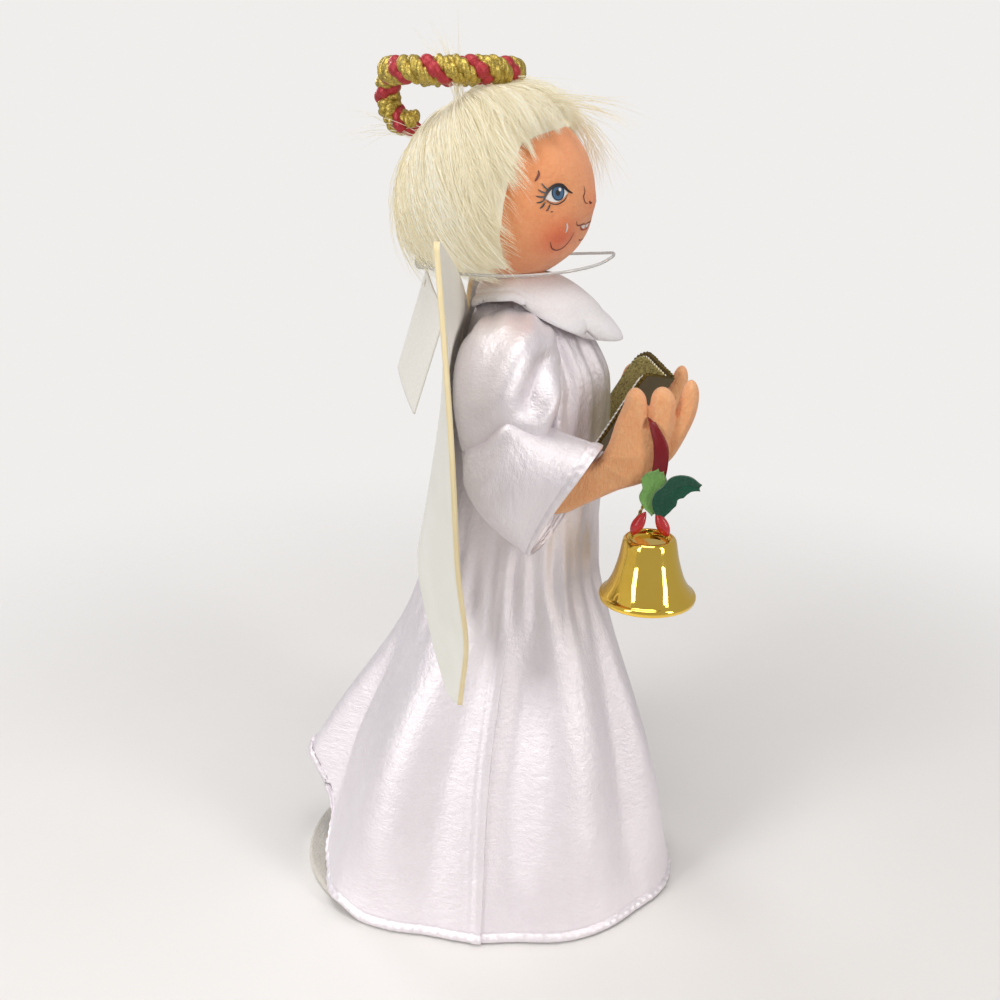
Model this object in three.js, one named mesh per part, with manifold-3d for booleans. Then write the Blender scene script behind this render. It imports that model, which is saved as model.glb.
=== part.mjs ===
// A standing felt angel doll: a stuffed felt head, torso, arms and legs on bent wire, a satin gown with wide
// sleeves and a scalloped collar, board wings, a halo of twisted cord, a songbook and a small bell.
// Millimetres, +Z up. The doll faces -Y and its left hand is on +X. The floor is at Z = 0.
import * as THREE from 'three';
import { mergeVertices } from 'three/addons/utils/BufferGeometryUtils.js';
import Module from 'manifold-3d';

const wasm = await Module();
wasm.setup();

// Stock and clearances
const SEAT = 0.3;
const WIRE_RADIUS = 0.8;
const SATIN = 1;
const FELT = 1.4;
const CARD = 0.5;

// Base board
const BASE_RADIUS = 41.5;
const BASE_THICKNESS = 2.4;
const BASE_X = 2;
const BASE_Y = 18;

// Legs
const LEG_SPREAD = 9;
const LEG_Y = -6;
const LEG_TOP = 100;
const THIGH_RADIUS = 7.6;
const ANKLE_RADIUS = 5;
const FOOT_LENGTH = 24;
const FOOT_WIDTH = 13;
const FOOT_HEIGHT = 11;

// Torso and neck
const TORSO_TOP = 174;
const TORSO_HALF_WIDTH = 15.5;
const TORSO_HALF_DEPTH = 13;
const WAIST_HALF_WIDTH = 13;
const WAIST_HALF_DEPTH = 11.5;
const NECK_RADIUS = 7.4;
const NECK_Y = -8;
const NECK_TOP = 187;
const NECK_WIRE_IN_TORSO = 9;
const NECK_WIRE_IN_HEAD = 18;
const LEG_WIRE_IN_TORSO = 18;
const SEAT_ROUND = 2;
const SEAT_FULLNESS = 1;
const SEAT_HEIGHT = 7;
const SHOULDER_ROUND = 3;
const COLLAR_BONE = { x: NECK_RADIUS + 2, y: NECK_RADIUS + 1 };
const BORE_OVERRUN = 1;

// Gown: reach to the front, the back and each side at each level, and the depth of the folds there
const NECKLINE_LEVEL = 181;
const NECKLINE_GAP = 0.5;
const SHOULDER_LEVEL = 170;
const CHEST_LEVEL = 157;
const WAIST_LEVEL = 106;
const HIP_LEVEL = 88;
const KNEE_LEVEL = 48;
const HEM_LEVEL = 0.8;
const NECKLINE_REACH = NECK_RADIUS + NECKLINE_GAP + SATIN;
const GOWN_LEVELS = [
  { z: HEM_LEVEL, front: 58, back: 57, side: 43.5, fold: 2.6 },
  { z: KNEE_LEVEL, front: 47.5, back: 47, side: 34.5, fold: 2.2 },
  { z: HIP_LEVEL, front: 35.5, back: 24.5, side: 24.5, fold: 1.1 },
  { z: WAIST_LEVEL, front: 31.6, back: 18, side: 21, fold: 0.6 },
  { z: CHEST_LEVEL, front: 32.5, back: 9, side: 19, fold: 0.5 },
  { z: SHOULDER_LEVEL, front: 27, back: 6.5, side: 17, fold: 0.3 },
  { z: NECKLINE_LEVEL, front: NECKLINE_REACH - NECK_Y, back: NECKLINE_REACH + NECK_Y, side: NECKLINE_REACH, fold: 0 },
];
const FOLD_COUNT = 10;
const SMALL_FOLD_COUNT = 15;
const SMALL_FOLD_SHARE = 0.35;
const SMALL_FOLD_PHASE = 1;
const PANEL_COLUMNS = 25;
const HEM_LIFT = 34;
const HEM_LIFT_ANGLE = 174;
const HEM_LIFT_SPREAD = 17;
const HEM_ON_BASE_FROM = 78;
const HEM_ON_BASE_TO = 96;

// Shoulders, arms and sleeves. The left arm is held a little lower than the right.
const SHOULDER_Y = -9;
const SHOULDER_Z = 163;
const LEFT_ARM_DROP = 6;
const ARM_RADIUS = 4.8;
const ARMHOLE_RADIUS = 7;
const ARM_ROOT = 17.6;
const HAND_X = 21.5;
const HAND_THICKNESS = 6.4;
const PALM = { front: 31.5, up: -20.5, halfLength: 9.5, halfHeight: 7.5 };
const FINGERS = [
  { root: { front: 26.5, up: -20 }, tip: { front: 30.4, up: -6.6 }, radius: 3.8 },
  { root: { front: 34.5, up: -19 }, tip: { front: 38.4, up: -5.8 }, radius: 3.4 },
  { root: { front: 38.5, up: -19 }, tip: { front: 45.8, up: -5.4 }, radius: 3 },
];
const ARM_POINTS = [
  { out: ARM_ROOT, front: 0, up: 0 },
  { out: 23.4, front: 0, up: -0.6 },
  { out: 28.6, front: -0.8, up: -4.8 },
  { out: 30.6, front: -1.6, up: -12 },
  { out: 30.4, front: -0.6, up: -20 },
  { out: 28.8, front: 8, up: -26 },
  { out: 26.5, front: 18.5, up: -27.8 },
  { out: HAND_X, front: 28, up: -25 },
];
const ARM_RINGS = 12;
const ARM_SIDES = 8;
const ARM_WIRE_FROM = 0.12;
const ARM_WIRE_TO = 0.78;
const ARM_BORE_TO = 0.82;
const SHOULDER_WIRE_HALF = ARM_ROOT + 3.4;
const SHOULDER_BORE_HALF = ARM_ROOT + 5;
const SLEEVE_POINTS = [
  { out: 20.6, front: 0, up: 0 },
  { out: 24.6, front: -0.3, up: -0.8 },
  { out: 28.2, front: -0.8, up: -3.6 },
  { out: 30.4, front: -1.2, up: -8.4 },
  { out: 31, front: -0.6, up: -15 },
  { out: 30.4, front: 3, up: -23.5 },
  { out: 28.6, front: 9.5, up: -30 },
  { out: 27, front: 16.5, up: -33.5 },
];
const SLEEVE_SIZES = [
  { z: 0, long: 10.5, short: 10 },
  { z: 0.25, long: 12, short: 9.2 },
  { z: 0.5, long: 12.6, short: 8.8 },
  { z: 0.75, long: 14, short: 8.6 },
  { z: 1, long: 16, short: 8.6 },
];
const NEARLY_LEVEL = 0.001;
const SLEEVE_ROWS = 11;
const SLEEVE_SIDES = 16;

// Collar
const COLLAR_FRONT = 26;
const COLLAR_SIDE = 19;
const COLLAR_BACK = 12;
const COLLAR_DROP_FRONT = 14;
const COLLAR_DROP_BACK = 2.4;
const COLLAR_STAND = 0.8;
const SCALLOPS = 11;
const SCALLOP_DEPTH = 1.8;
const COLLAR_DROOP_POWER = 1.7;
const COLLAR_EDGE_THINNING = 0.3;
const COLLAR_ROWS = 4;

// Wings: distance from the middle and height of each corner of the outline, and how far back the outer edge is there
const WING_THICKNESS = 2.2;
const WING_TIP = { x: 58, y: 2.8, z: 202 };
const WING_ROOT_TOP = { x: 0.5, z: 176 };
const WING_ROOT_FOOT = { x: 0.5, z: 119 };
const WING_WAIST = { x: 24, z: 108 };
const WING_FOOT = { x: 46, y: 1.5, z: 79 };
const WING_SIDE = { x: 70, y: -2, z: 146 };
const WING_TIP_ROUND = 1.6;
const WING_SWEEP_POWER = 2;
const WING_STAND_OFF = 1.1;
const WING_ROWS = 17;
const WING_COLUMNS = 8;

// Head, hair and halo
const HEAD_TURN = 14;
const HEAD_Y = -4;
const HEAD_Z = 206.6;
const HEAD_HALF = { x: 22.6, y: 23.8, z: 22.6 };
const HAIR_THICKNESS = 3.2;
const HAIR_BACK_SHIFT = 1.6;
const HAIR_LINE_FORWARD = 5;
const HAIR_LINE_UP = 13;
const HAIR_BOTTOM = 190.6;
const HALO_RADIUS = 15.8;
const HALO_CORD_RADIUS = 3.55;
const HALO_CENTRE = { y: 10.6, z: 236.4 };
const HALO_TAIL = { y: 20.6, z: 224.2 };
const HALO_TAIL_BEND = 3.8;
const HALO_RING_FROM = 104;
const HALO_RING_SWEEP = 316;

// Songbook, held in a V with its spine in the middle plane
const BOOK_HEIGHT = 25;
const BOOK_COVER = 0.9;
const BOOK_LEAN = 31;
const BOOK_HALF_OPEN = 60;
const BOOK_SPINE_FOOT = { y: -38, z: 137.4 };
const BOOK_SPINE_GAP = 1.2;
const PAGE_MARGIN = 1.2;

// Ribbon, holly, berries and bell
const RIBBON_WIDTH = 3;
const RIBBON_THICKNESS = 0.6;
const RIBBON_TOP = 153;
const RIBBON_FOOT = 133;
const BELL_X = -22.5;
const BELL_Y = -45.5;
const HANGER_RADIUS = 0.5;
const BELL_LIP_Z = 103;
const BELL_HEIGHT = 17.6;
const BELL_LIP_RADIUS = 12.9;
const BELL_CROWN_RADIUS = 6.9;
const BELL_WALL = 0.8;
const CLAPPER_RADIUS = 2.2;
const BELL_DISH = 1.4;
const BELL_PROFILE = [
  [1, 0],
  [1, 0.09],
  [0.85, 0.14],
  [0.5, 0.32],
  [0.22, 0.62],
  [0.05, 0.92],
  [-0.1, 1],
];
const CLAPPER_LENGTH = 11;
const BERRY_RADIUS = 1.7;
const BERRY_LENGTH = 7.4;
const BERRY_LEAN = 27;
const LEAF_LENGTH = 12;
const LEAF_WIDTH = 7;
const LEAF_THICKNESS = 1;
const LEAF_OUTLINE = [
  { bend: [0.3, 0.12], to: [1, 0.2] },
  { bend: [0.5, 0.36], to: [1, 0.55] },
  { bend: [0.4, 0.68], to: [0.7, 0.82] },
  { bend: [0.25, 0.88], to: [0, 1] },
];
const LIGHT_LEAF = { lean: -170, above: 3 };
const DARK_LEAF = { lean: -62, above: -3 };

// Tag, clasp and nylon loop
const TAG_WIDTH = 23;
const TAG_LENGTH = 32;
const TAG_HANG = { x: 0, y: 16.6, z: 184.2 };
const TAG_TILT = 22;
const TAG_LEAN = 11;
const TAG_FACE = 27;
const TAG_HOLE = { x: 3, z: 1 };
const CLASP_SIZE = { x: 5, y: 7, z: 3.6 };
const LOOP_RADIUS = 0.4;
const LOOP_STEPS = 52;
const LOOP_POINTS = [
  { x: 8, y: 15.4, z: 188.3 },
  { x: 15, y: 9.5, z: 188 },
  { x: 19.6, y: 0, z: 188 },
  { x: 21, y: -11, z: 188.2 },
  { x: 18.6, y: -21.5, z: 189 },
  { x: 12.4, y: -29, z: 190 },
  { x: 5, y: -32.6, z: 191 },
];
const LOOP_FRONT = { y: -33.2, z: 191.2 };

const FELT_SKIN = { color: 0xf0a570, roughness: 0.95, metalness: 0 };
const WHITE_SATIN = { color: 0xe9e4ea, roughness: 0.42, metalness: 0 };
const WHITE_FELT = { color: 0xf0eef0, roughness: 0.95, metalness: 0 };
const WHITE_FUR = { color: 0xebe4c8, roughness: 0.85, metalness: 0 };
const WING_BOARD = { color: 0xe4e0d2, roughness: 0.7, metalness: 0 };
const GOLD_CORD = { color: 0xbea03c, roughness: 0.4, metalness: 0.5 };
const GOLD_CLOTH = { color: 0xa5a05f, roughness: 0.35, metalness: 0.7 };
const WHITE_CARD = { color: 0xf2f0ea, roughness: 0.8, metalness: 0 };
const RED_SATIN = { color: 0x730f19, roughness: 0.45, metalness: 0 };
const RED_LACQUER = { color: 0xcd3237, roughness: 0.3, metalness: 0 };
const LIGHT_GREEN = { color: 0x6ea055, roughness: 0.9, metalness: 0 };
const DARK_GREEN = { color: 0x0a3c2d, roughness: 0.9, metalness: 0 };
const BELL_GOLD = { color: 0xd9a520, roughness: 0.08, metalness: 1 };
const STEEL_WIRE = { color: 0x9a9a98, roughness: 0.4, metalness: 0.9 };
const CLEAR_NYLON = { color: 0xd8d8d8, roughness: 0.2, metalness: 0 };

const radians = THREE.MathUtils.degToRad;
const vector = (x, y, z) => new THREE.Vector3(x, y, z);

// A closed geometry from points and triangles, turned so that its faces point out.
function closed(points, faces) {
  let volume = 0;
  for (const [a, b, c] of faces) {
    volume += points[a].dot(points[b].clone().cross(points[c]));
  }
  const turned = volume < 0 ? faces.map(([a, b, c]) => [a, c, b]) : faces;
  const geometry = new THREE.BufferGeometry().setFromPoints(points);
  geometry.setIndex(turned.flat());
  return geometry;
}

// The two triangles of each cell of a grid of points, with index(row, column) giving a point's number.
function cells(rows, columns, index, flip) {
  const faces = [];
  for (let i = 0; i + 1 < rows; i++) {
    for (let j = 0; j + 1 < columns; j++) {
      const [a, b] = [index(i, j), index(i, j + 1)];
      const [c, d] = [index(i + 1, j), index(i + 1, j + 1)];
      faces.push(...(flip ? [[a, c, b], [b, c, d]] : [[a, b, c], [b, d, c]]));
    }
  }
  return faces;
}

// A solid skinned over rings of points, one above the other, with flat ends.
function loft(rings) {
  const sides = rings[0].length;
  const points = rings.flat();
  const faces = cells(rings.length, sides + 1, (i, j) => i * sides + (j % sides), false);
  for (const [ring, flip] of [[0, true], [rings.length - 1, false]]) {
    const middle = points.length;
    points.push(rings[ring].reduce((sum, p) => sum.add(p), vector(0, 0, 0)).divideScalar(sides));
    for (let j = 0; j < sides; j++) {
      const [a, b] = [ring * sides + j, ring * sides + ((j + 1) % sides)];
      faces.push(flip ? [b, a, middle] : [a, b, middle]);
    }
  }
  return closed(points, faces);
}

// A wall between an outer and an inner set of rings, open at both ends.
function sleeveWall(outer, inner) {
  const [rows, sides] = [outer.length, outer[0].length];
  const points = [...outer.flat(), ...inner.flat()];
  const outside = (i, j) => i * sides + (j % sides);
  const inside = (i, j) => rows * sides + outside(i, j);
  const rim = (row) => (i, j) => (i === 0 ? outside(row, j) : inside(row, j));
  return closed(points, [
    ...cells(rows, sides + 1, outside, false),
    ...cells(rows, sides + 1, inside, true),
    ...cells(2, sides + 1, rim(0), true),
    ...cells(2, sides + 1, rim(rows - 1), false),
  ]);
}

// A sheet between an outer and an inner grid of points, closed along its four edges.
function sheet(outer, inner) {
  const [rows, columns] = [outer.length, outer[0].length];
  const points = [...outer.flat(), ...inner.flat()];
  const face = (i, j) => i * columns + j;
  const back = (i, j) => rows * columns + face(i, j);
  const alongRow = (row) => (i, j) => (i === 0 ? face(row, j) : back(row, j));
  const alongColumn = (column) => (i, j) => (i === 0 ? face(j, column) : back(j, column));
  return closed(points, [
    ...cells(rows, columns, face, false),
    ...cells(rows, columns, back, true),
    ...cells(2, columns, alongRow(0), true),
    ...cells(2, columns, alongRow(rows - 1), false),
    ...cells(2, rows, alongColumn(0), false),
    ...cells(2, rows, alongColumn(columns - 1), true),
  ]);
}

// The grid moved by a distance against its own normals.
function inset(grid, distance) {
  const [rows, columns] = [grid.length, grid[0].length];
  return grid.map((row, i) => row.map((point, j) => {
    const along = grid[i][Math.min(j + 1, columns - 1)].clone().sub(grid[i][Math.max(j - 1, 0)]);
    const up = grid[Math.min(i + 1, rows - 1)][j].clone().sub(grid[Math.max(i - 1, 0)][j]);
    const normal = along.cross(up).normalize();
    return point.clone().addScaledVector(normal, -distance);
  }));
}

// A closed geometry as a solid: vertices are shared by place, and slivers at poles are dropped.
function solid(geometry) {
  const bare = new THREE.BufferGeometry();
  bare.setAttribute('position', geometry.getAttribute('position'));
  bare.setIndex(geometry.getIndex());
  const merged = mergeVertices(bare, 1e-4);
  const index = merged.getIndex().array;
  const triVerts = [];
  for (let i = 0; i < index.length; i += 3) {
    const [a, b, c] = [index[i], index[i + 1], index[i + 2]];
    if (a !== b && b !== c && c !== a) triVerts.push(a, b, c);
  }
  const vertProperties = merged.getAttribute('position').array;
  return new wasm.Manifold(new wasm.Mesh({ numProp: 3, vertProperties, triVerts: new Uint32Array(triVerts) }));
}

function fromSolid(body) {
  const { vertProperties, triVerts } = body.getMesh();
  const geometry = new THREE.BufferGeometry();
  geometry.setAttribute('position', new THREE.BufferAttribute(vertProperties, 3));
  geometry.setIndex(new THREE.BufferAttribute(triVerts, 1));
  return geometry;
}

const join = (...parts) => fromSolid(parts.map(solid).reduce((whole, next) => whole.add(next)));
const less = (whole, tool) => whole.subtract(tool);
const cut = (base, ...tools) => fromSolid(tools.map(solid).reduce(less, solid(base)));

function mirrored(geometry) {
  const copy = geometry.clone().scale(-1, 1, 1);
  const index = copy.getIndex();
  for (let i = 0; i < index.count; i += 3) {
    const second = index.getX(i + 1);
    index.setX(i + 1, index.getX(i + 2));
    index.setX(i + 2, second);
  }
  return copy;
}

// A round bar between two points.
function bar(from, to, radius, sides = 10) {
  const path = new THREE.LineCurve3(from, to);
  return tube(path, radius, 1, sides);
}

// A round tube along a curve.
function tube(path, radius, steps, sides) {
  const section = new THREE.Shape();
  for (let i = 0; i < sides; i++) {
    const angle = (2 * Math.PI * i) / sides;
    const [x, y] = [radius * Math.cos(angle), radius * Math.sin(angle)];
    if (i === 0) section.moveTo(x, y);
    else section.lineTo(x, y);
  }
  section.closePath();
  return fromSolid(solid(new THREE.ExtrudeGeometry(section, { steps, extrudePath: path })));
}

// An egg with the given half sizes, at a place.
function egg(half, place, wide = 20, high = 12) {
  const ball = new THREE.SphereGeometry(1, wide, high).rotateX(Math.PI / 2);
  return ball.scale(half.x, half.y, half.z).translate(place.x, place.y, place.z);
}

// A ring of points in a level plane.
function levelRing(centre, halfX, halfY, sides) {
  return Array.from({ length: sides }, (_, j) => {
    const angle = (2 * Math.PI * j) / sides;
    return vector(centre.x + halfX * Math.cos(angle), centre.y + halfY * Math.sin(angle), centre.z);
  });
}

// A value read from a list of levels by a smooth curve through them.
function atLevel(levels, z, key) {
  const last = levels.length - 2;
  let k = 0;
  while (k < last && z > levels[k + 1].z) k += 1;
  const slope = (i) => {
    const low = levels[Math.max(i - 1, 0)];
    const high = levels[Math.min(i + 1, levels.length - 1)];
    return (high[key] - low[key]) / (high.z - low.z);
  };
  const [low, high] = [levels[k], levels[k + 1]];
  const span = high.z - low.z;
  const t = THREE.MathUtils.clamp((z - low.z) / span, 0, 1);
  const [t2, t3] = [t * t, t * t * t];
  return (2 * t3 - 3 * t2 + 1) * low[key] + (t3 - 2 * t2 + t) * span * slope(k)
    + (3 * t2 - 2 * t3) * high[key] + (t3 - t2) * span * slope(k + 1);
}

const doll = new THREE.Group();
const headGroup = new THREE.Group();

function add(group, name, geometry, finish) {
  geometry.computeVertexNormals();
  const mesh = new THREE.Mesh(geometry, new THREE.MeshStandardMaterial(finish));
  mesh.name = name;
  group.add(mesh);
}

const onNeck = (z) => vector(0, NECK_Y, z);
const wireBore = (from, to) => bar(from, to, WIRE_RADIUS + SEAT);

// The gown's outer surface at an angle from the front (90 degrees is the doll's left) and a height.
function gownPoint(degrees, z) {
  const angle = radians(degrees);
  const front = atLevel(GOWN_LEVELS, z, 'front');
  const back = atLevel(GOWN_LEVELS, z, 'back');
  const side = atLevel(GOWN_LEVELS, z, 'side');
  const small = SMALL_FOLD_SHARE * Math.cos(SMALL_FOLD_COUNT * angle + SMALL_FOLD_PHASE);
  const out = atLevel(GOWN_LEVELS, z, 'fold') * ((1 - SMALL_FOLD_SHARE) * Math.cos(FOLD_COUNT * angle) + small);
  const x = (side + out) * Math.sin(angle);
  const y = (back - front) / 2 - ((front + back) / 2 + out) * Math.cos(angle);
  return vector(x, y, z);
}

// How far the hem stands above its level: it lies on the base at the sides, and is caught up at the back.
function hemRise(degrees) {
  const fromFront = Math.abs(degrees <= 180 ? degrees : degrees - 360);
  const onBase = THREE.MathUtils.smoothstep(fromFront, HEM_ON_BASE_FROM, HEM_ON_BASE_TO);
  const caughtUp = Math.exp(-(((degrees - HEM_LIFT_ANGLE) / HEM_LIFT_SPREAD) ** 2));
  return onBase * (BASE_THICKNESS + SEAT) + HEM_LIFT * caughtUp;
}

// The angle from a side seam that leaves half the seat gap beside it at a height.
function seamAngle(z) {
  const halfDepth = (atLevel(GOWN_LEVELS, z, 'front') + atLevel(GOWN_LEVELS, z, 'back')) / 2;
  return THREE.MathUtils.radToDeg(SEAT / 2 / halfDepth);
}

// One panel of the gown from one side seam to the other, with armholes at the shoulders.
function gownPanel(fromSeam, toSeam) {
  const levels = GOWN_LEVELS.map(({ z }) => z);
  const heights = levels.flatMap((z, i) => (i === 0 ? [z] : [(levels[i - 1] + z) / 2, z]));
  const rows = heights.map((z) => {
    const low = THREE.MathUtils.clamp((KNEE_LEVEL - z) / (KNEE_LEVEL - HEM_LEVEL), 0, 1);
    return Array.from({ length: PANEL_COLUMNS }, (_, j) => {
      const across = j / (PANEL_COLUMNS - 1);
      const degrees = THREE.MathUtils.lerp(fromSeam + seamAngle(z), toSeam - seamAngle(z), across);
      return gownPoint(degrees, z + hemRise(degrees) * low ** 2);
    });
  });
  const wall = sheet(rows, inset(rows, SATIN));
  const reach = 2 * atLevel(GOWN_LEVELS, SHOULDER_Z, 'side');
  const end = (side) => vector(side * reach, SHOULDER_Y, SHOULDER_Z);
  const armholes = bar(end(-1), end(1), ARMHOLE_RADIUS, 16);
  return cut(wall, armholes);
}

function buildGown() {
  add(doll, 'gown_front', gownPanel(-90, 90), WHITE_SATIN);
  add(doll, 'gown_back', gownPanel(90, 270), WHITE_SATIN);
}

function buildBase() {
  const board = new THREE.Shape().absarc(BASE_X, BASE_Y, BASE_RADIUS, 0, 2 * Math.PI);
  const disc = new THREE.ExtrudeGeometry(board, { depth: BASE_THICKNESS, bevelEnabled: false, curveSegments: 24 });
  const bores = [-1, 1].map((side) => {
    const x = side * LEG_SPREAD;
    return wireBore(vector(x, LEG_Y, -BORE_OVERRUN), vector(x, LEG_Y, BASE_THICKNESS + BORE_OVERRUN));
  });
  add(doll, 'base_board', cut(disc, ...bores), WHITE_FELT);
}

// One leg: a tapering tube of felt on a rounded foot, flat below, bored for its wire.
function buildLeg(side, name) {
  const x = side * LEG_SPREAD;
  const floor = BASE_THICKNESS + SEAT;
  const levels = [
    { z: floor, r: ANKLE_RADIUS },
    { z: floor + FOOT_HEIGHT, r: ANKLE_RADIUS },
    { z: (floor + LEG_TOP) / 2, r: (ANKLE_RADIUS + THIGH_RADIUS) / 2 },
    { z: LEG_TOP - THIGH_RADIUS, r: THIGH_RADIUS },
    { z: LEG_TOP, r: THIGH_RADIUS / 2 },
  ];
  const limb = loft(levels.map(({ z, r }) => levelRing(vector(x, LEG_Y, z), r, r, 12)));
  const half = { x: FOOT_WIDTH / 2, y: FOOT_LENGTH / 2, z: FOOT_HEIGHT };
  const foot = egg(half, vector(x, LEG_Y - FOOT_LENGTH / 4, floor), 14, 8);
  const below = new THREE.BoxGeometry(2 * FOOT_LENGTH, 3 * FOOT_LENGTH, 2 * FOOT_HEIGHT);
  below.translate(x, LEG_Y, floor - FOOT_HEIGHT);
  const wireTop = LEG_TOP + LEG_WIRE_IN_TORSO;
  const bore = wireBore(vector(x, LEG_Y, 0), vector(x, LEG_Y, LEG_TOP + BORE_OVERRUN));
  add(doll, `leg_${name}`, cut(join(limb, foot), below, bore), WHITE_FELT);
  add(doll, `leg_wire_${name}`, bar(vector(x, LEG_Y, SEAT), vector(x, LEG_Y, wireTop), WIRE_RADIUS), STEEL_WIRE);
}

function buildTorso() {
  const bottom = LEG_TOP + SEAT;
  const widthAtShoulder = atLevel(GOWN_LEVELS, SHOULDER_LEVEL, 'side') - SATIN - SHOULDER_ROUND / 2;
  const levels = [
    { z: bottom, x: TORSO_HALF_WIDTH - SEAT_ROUND, y: TORSO_HALF_DEPTH - SEAT_ROUND },
    { z: bottom + SEAT_HEIGHT, x: TORSO_HALF_WIDTH + SEAT_FULLNESS, y: TORSO_HALF_DEPTH },
    { z: (bottom + CHEST_LEVEL) / 2, x: WAIST_HALF_WIDTH, y: WAIST_HALF_DEPTH },
    { z: CHEST_LEVEL, x: TORSO_HALF_WIDTH, y: TORSO_HALF_DEPTH },
    { z: SHOULDER_LEVEL - SHOULDER_ROUND, x: widthAtShoulder, y: TORSO_HALF_DEPTH },
    { z: TORSO_TOP, x: COLLAR_BONE.x, y: COLLAR_BONE.y },
  ];
  const form = loft(levels.map(({ z, x, y }) => levelRing(onNeck(z), x, y, 18)));
  const neckBore = wireBore(onNeck(TORSO_TOP - NECK_WIRE_IN_TORSO - SEAT), onNeck(TORSO_TOP + BORE_OVERRUN));
  const legBores = [-1, 1].map((side) => {
    const x = side * LEG_SPREAD;
    return wireBore(vector(x, LEG_Y, LEG_TOP), vector(x, LEG_Y, LEG_TOP + LEG_WIRE_IN_TORSO + SEAT));
  });
  const reach = ARM_ROOT + TORSO_HALF_WIDTH;
  const armBore = wireBore(vector(-reach, SHOULDER_Y, SHOULDER_Z), vector(reach, SHOULDER_Y, SHOULDER_Z));
  add(doll, 'torso', cut(form, neckBore, armBore, ...legBores), WHITE_FELT);
}

function buildNeck() {
  const foot = TORSO_TOP + SEAT;
  const stem = bar(onNeck(foot), onNeck(NECK_TOP), NECK_RADIUS, 18);
  add(doll, 'neck', cut(stem, wireBore(onNeck(TORSO_TOP), onNeck(NECK_TOP + BORE_OVERRUN))), FELT_SKIN);
  const wire = bar(onNeck(TORSO_TOP - NECK_WIRE_IN_TORSO), onNeck(NECK_TOP + NECK_WIRE_IN_HEAD), WIRE_RADIUS);
  add(doll, 'neck_wire', wire, STEEL_WIRE);
}

// The head group turns about the neck, and its own origin is on that axis at floor level.
function buildHead() {
  const centre = vector(0, HEAD_Y - NECK_Y, HEAD_Z);
  const ball = egg(HEAD_HALF, centre, 24, 16);
  const seatTop = NECK_TOP + SEAT;
  const under = new THREE.BoxGeometry(4 * HEAD_HALF.x, 4 * HEAD_HALF.y, HEAD_HALF.z);
  under.translate(0, 0, seatTop - HEAD_HALF.z / 2);
  const bore = wireBore(vector(0, 0, NECK_TOP), vector(0, 0, NECK_TOP + NECK_WIRE_IN_HEAD + SEAT));
  add(headGroup, 'head', cut(ball, under, bore), FELT_SKIN);

  const grown = (more) => ({ x: HEAD_HALF.x + more, y: HEAD_HALF.y + more, z: HEAD_HALF.z + more });
  const wig = egg(grown(HAIR_THICKNESS + SEAT), centre.clone().add(vector(0, HAIR_BACK_SHIFT, 0)), 24, 16);
  const faceDepth = 2 * HEAD_HALF.y;
  const faceTop = HEAD_Z + HAIR_LINE_UP;
  const face = new THREE.BoxGeometry(4 * HEAD_HALF.x, faceDepth, 4 * HEAD_HALF.z);
  face.translate(0, centre.y - HAIR_LINE_FORWARD - faceDepth / 2, faceTop - 2 * HEAD_HALF.z);
  const nape = new THREE.BoxGeometry(4 * HEAD_HALF.x, 6 * HEAD_HALF.y, 2 * HEAD_HALF.z);
  nape.translate(0, 0, HAIR_BOTTOM - HEAD_HALF.z);
  const tailEnd = vector(0, HALO_TAIL.y - NECK_Y, HALO_TAIL.z);
  const dimple = HALO_CORD_RADIUS + SEAT;
  const hollow = egg({ x: dimple, y: dimple, z: dimple }, tailEnd, 10, 6);
  const cap = cut(wig, egg(grown(SEAT), centre, 24, 16), face, nape, hollow, haloCord(SEAT));
  add(headGroup, 'hair_wig', cap, WHITE_FUR);
  add(headGroup, 'halo_cord', haloCord(0), GOLD_CORD);
}

// The halo: one length of cord that leaves the hair at the back, turns up and forward and closes a level ring.
function haloCord(grow) {
  const middle = vector(0, HALO_CENTRE.y - NECK_Y, HALO_CENTRE.z);
  const tail = vector(0, HALO_TAIL.y - NECK_Y, HALO_TAIL.z);
  const points = [
    tail,
    tail.clone().add(vector(0, HALO_TAIL_BEND * Math.SQRT2, 0)),
    vector(0, middle.y + HALO_RADIUS + HALO_TAIL_BEND / Math.SQRT2, (tail.z + middle.z) / 2),
  ];
  const ringSteps = 14;
  for (let i = 0; i <= ringSteps; i++) {
    const angle = radians(HALO_RING_FROM + (HALO_RING_SWEEP * i) / ringSteps);
    points.push(middle.clone().add(vector(HALO_RADIUS * Math.cos(angle), HALO_RADIUS * Math.sin(angle), 0)));
  }
  const radius = HALO_CORD_RADIUS + grow;
  const ring = tube(new THREE.CatmullRomCurve3(points), radius, 44, 9);
  return join(ring, egg({ x: radius, y: radius, z: radius }, tail, 10, 6));
}

// The right arm in the shoulder's own frame: out is towards the doll's right, front is forward.
const armPoint = (out, front, up) => vector(-out, -front, up);

const armCurve = (points) => new THREE.CatmullRomCurve3(points.map(({ out, front, up }) => armPoint(out, front, up)));
const SLEEVE_LINE = armCurve(SLEEVE_POINTS);
const ARM_LINE = armCurve(ARM_POINTS);

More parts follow.
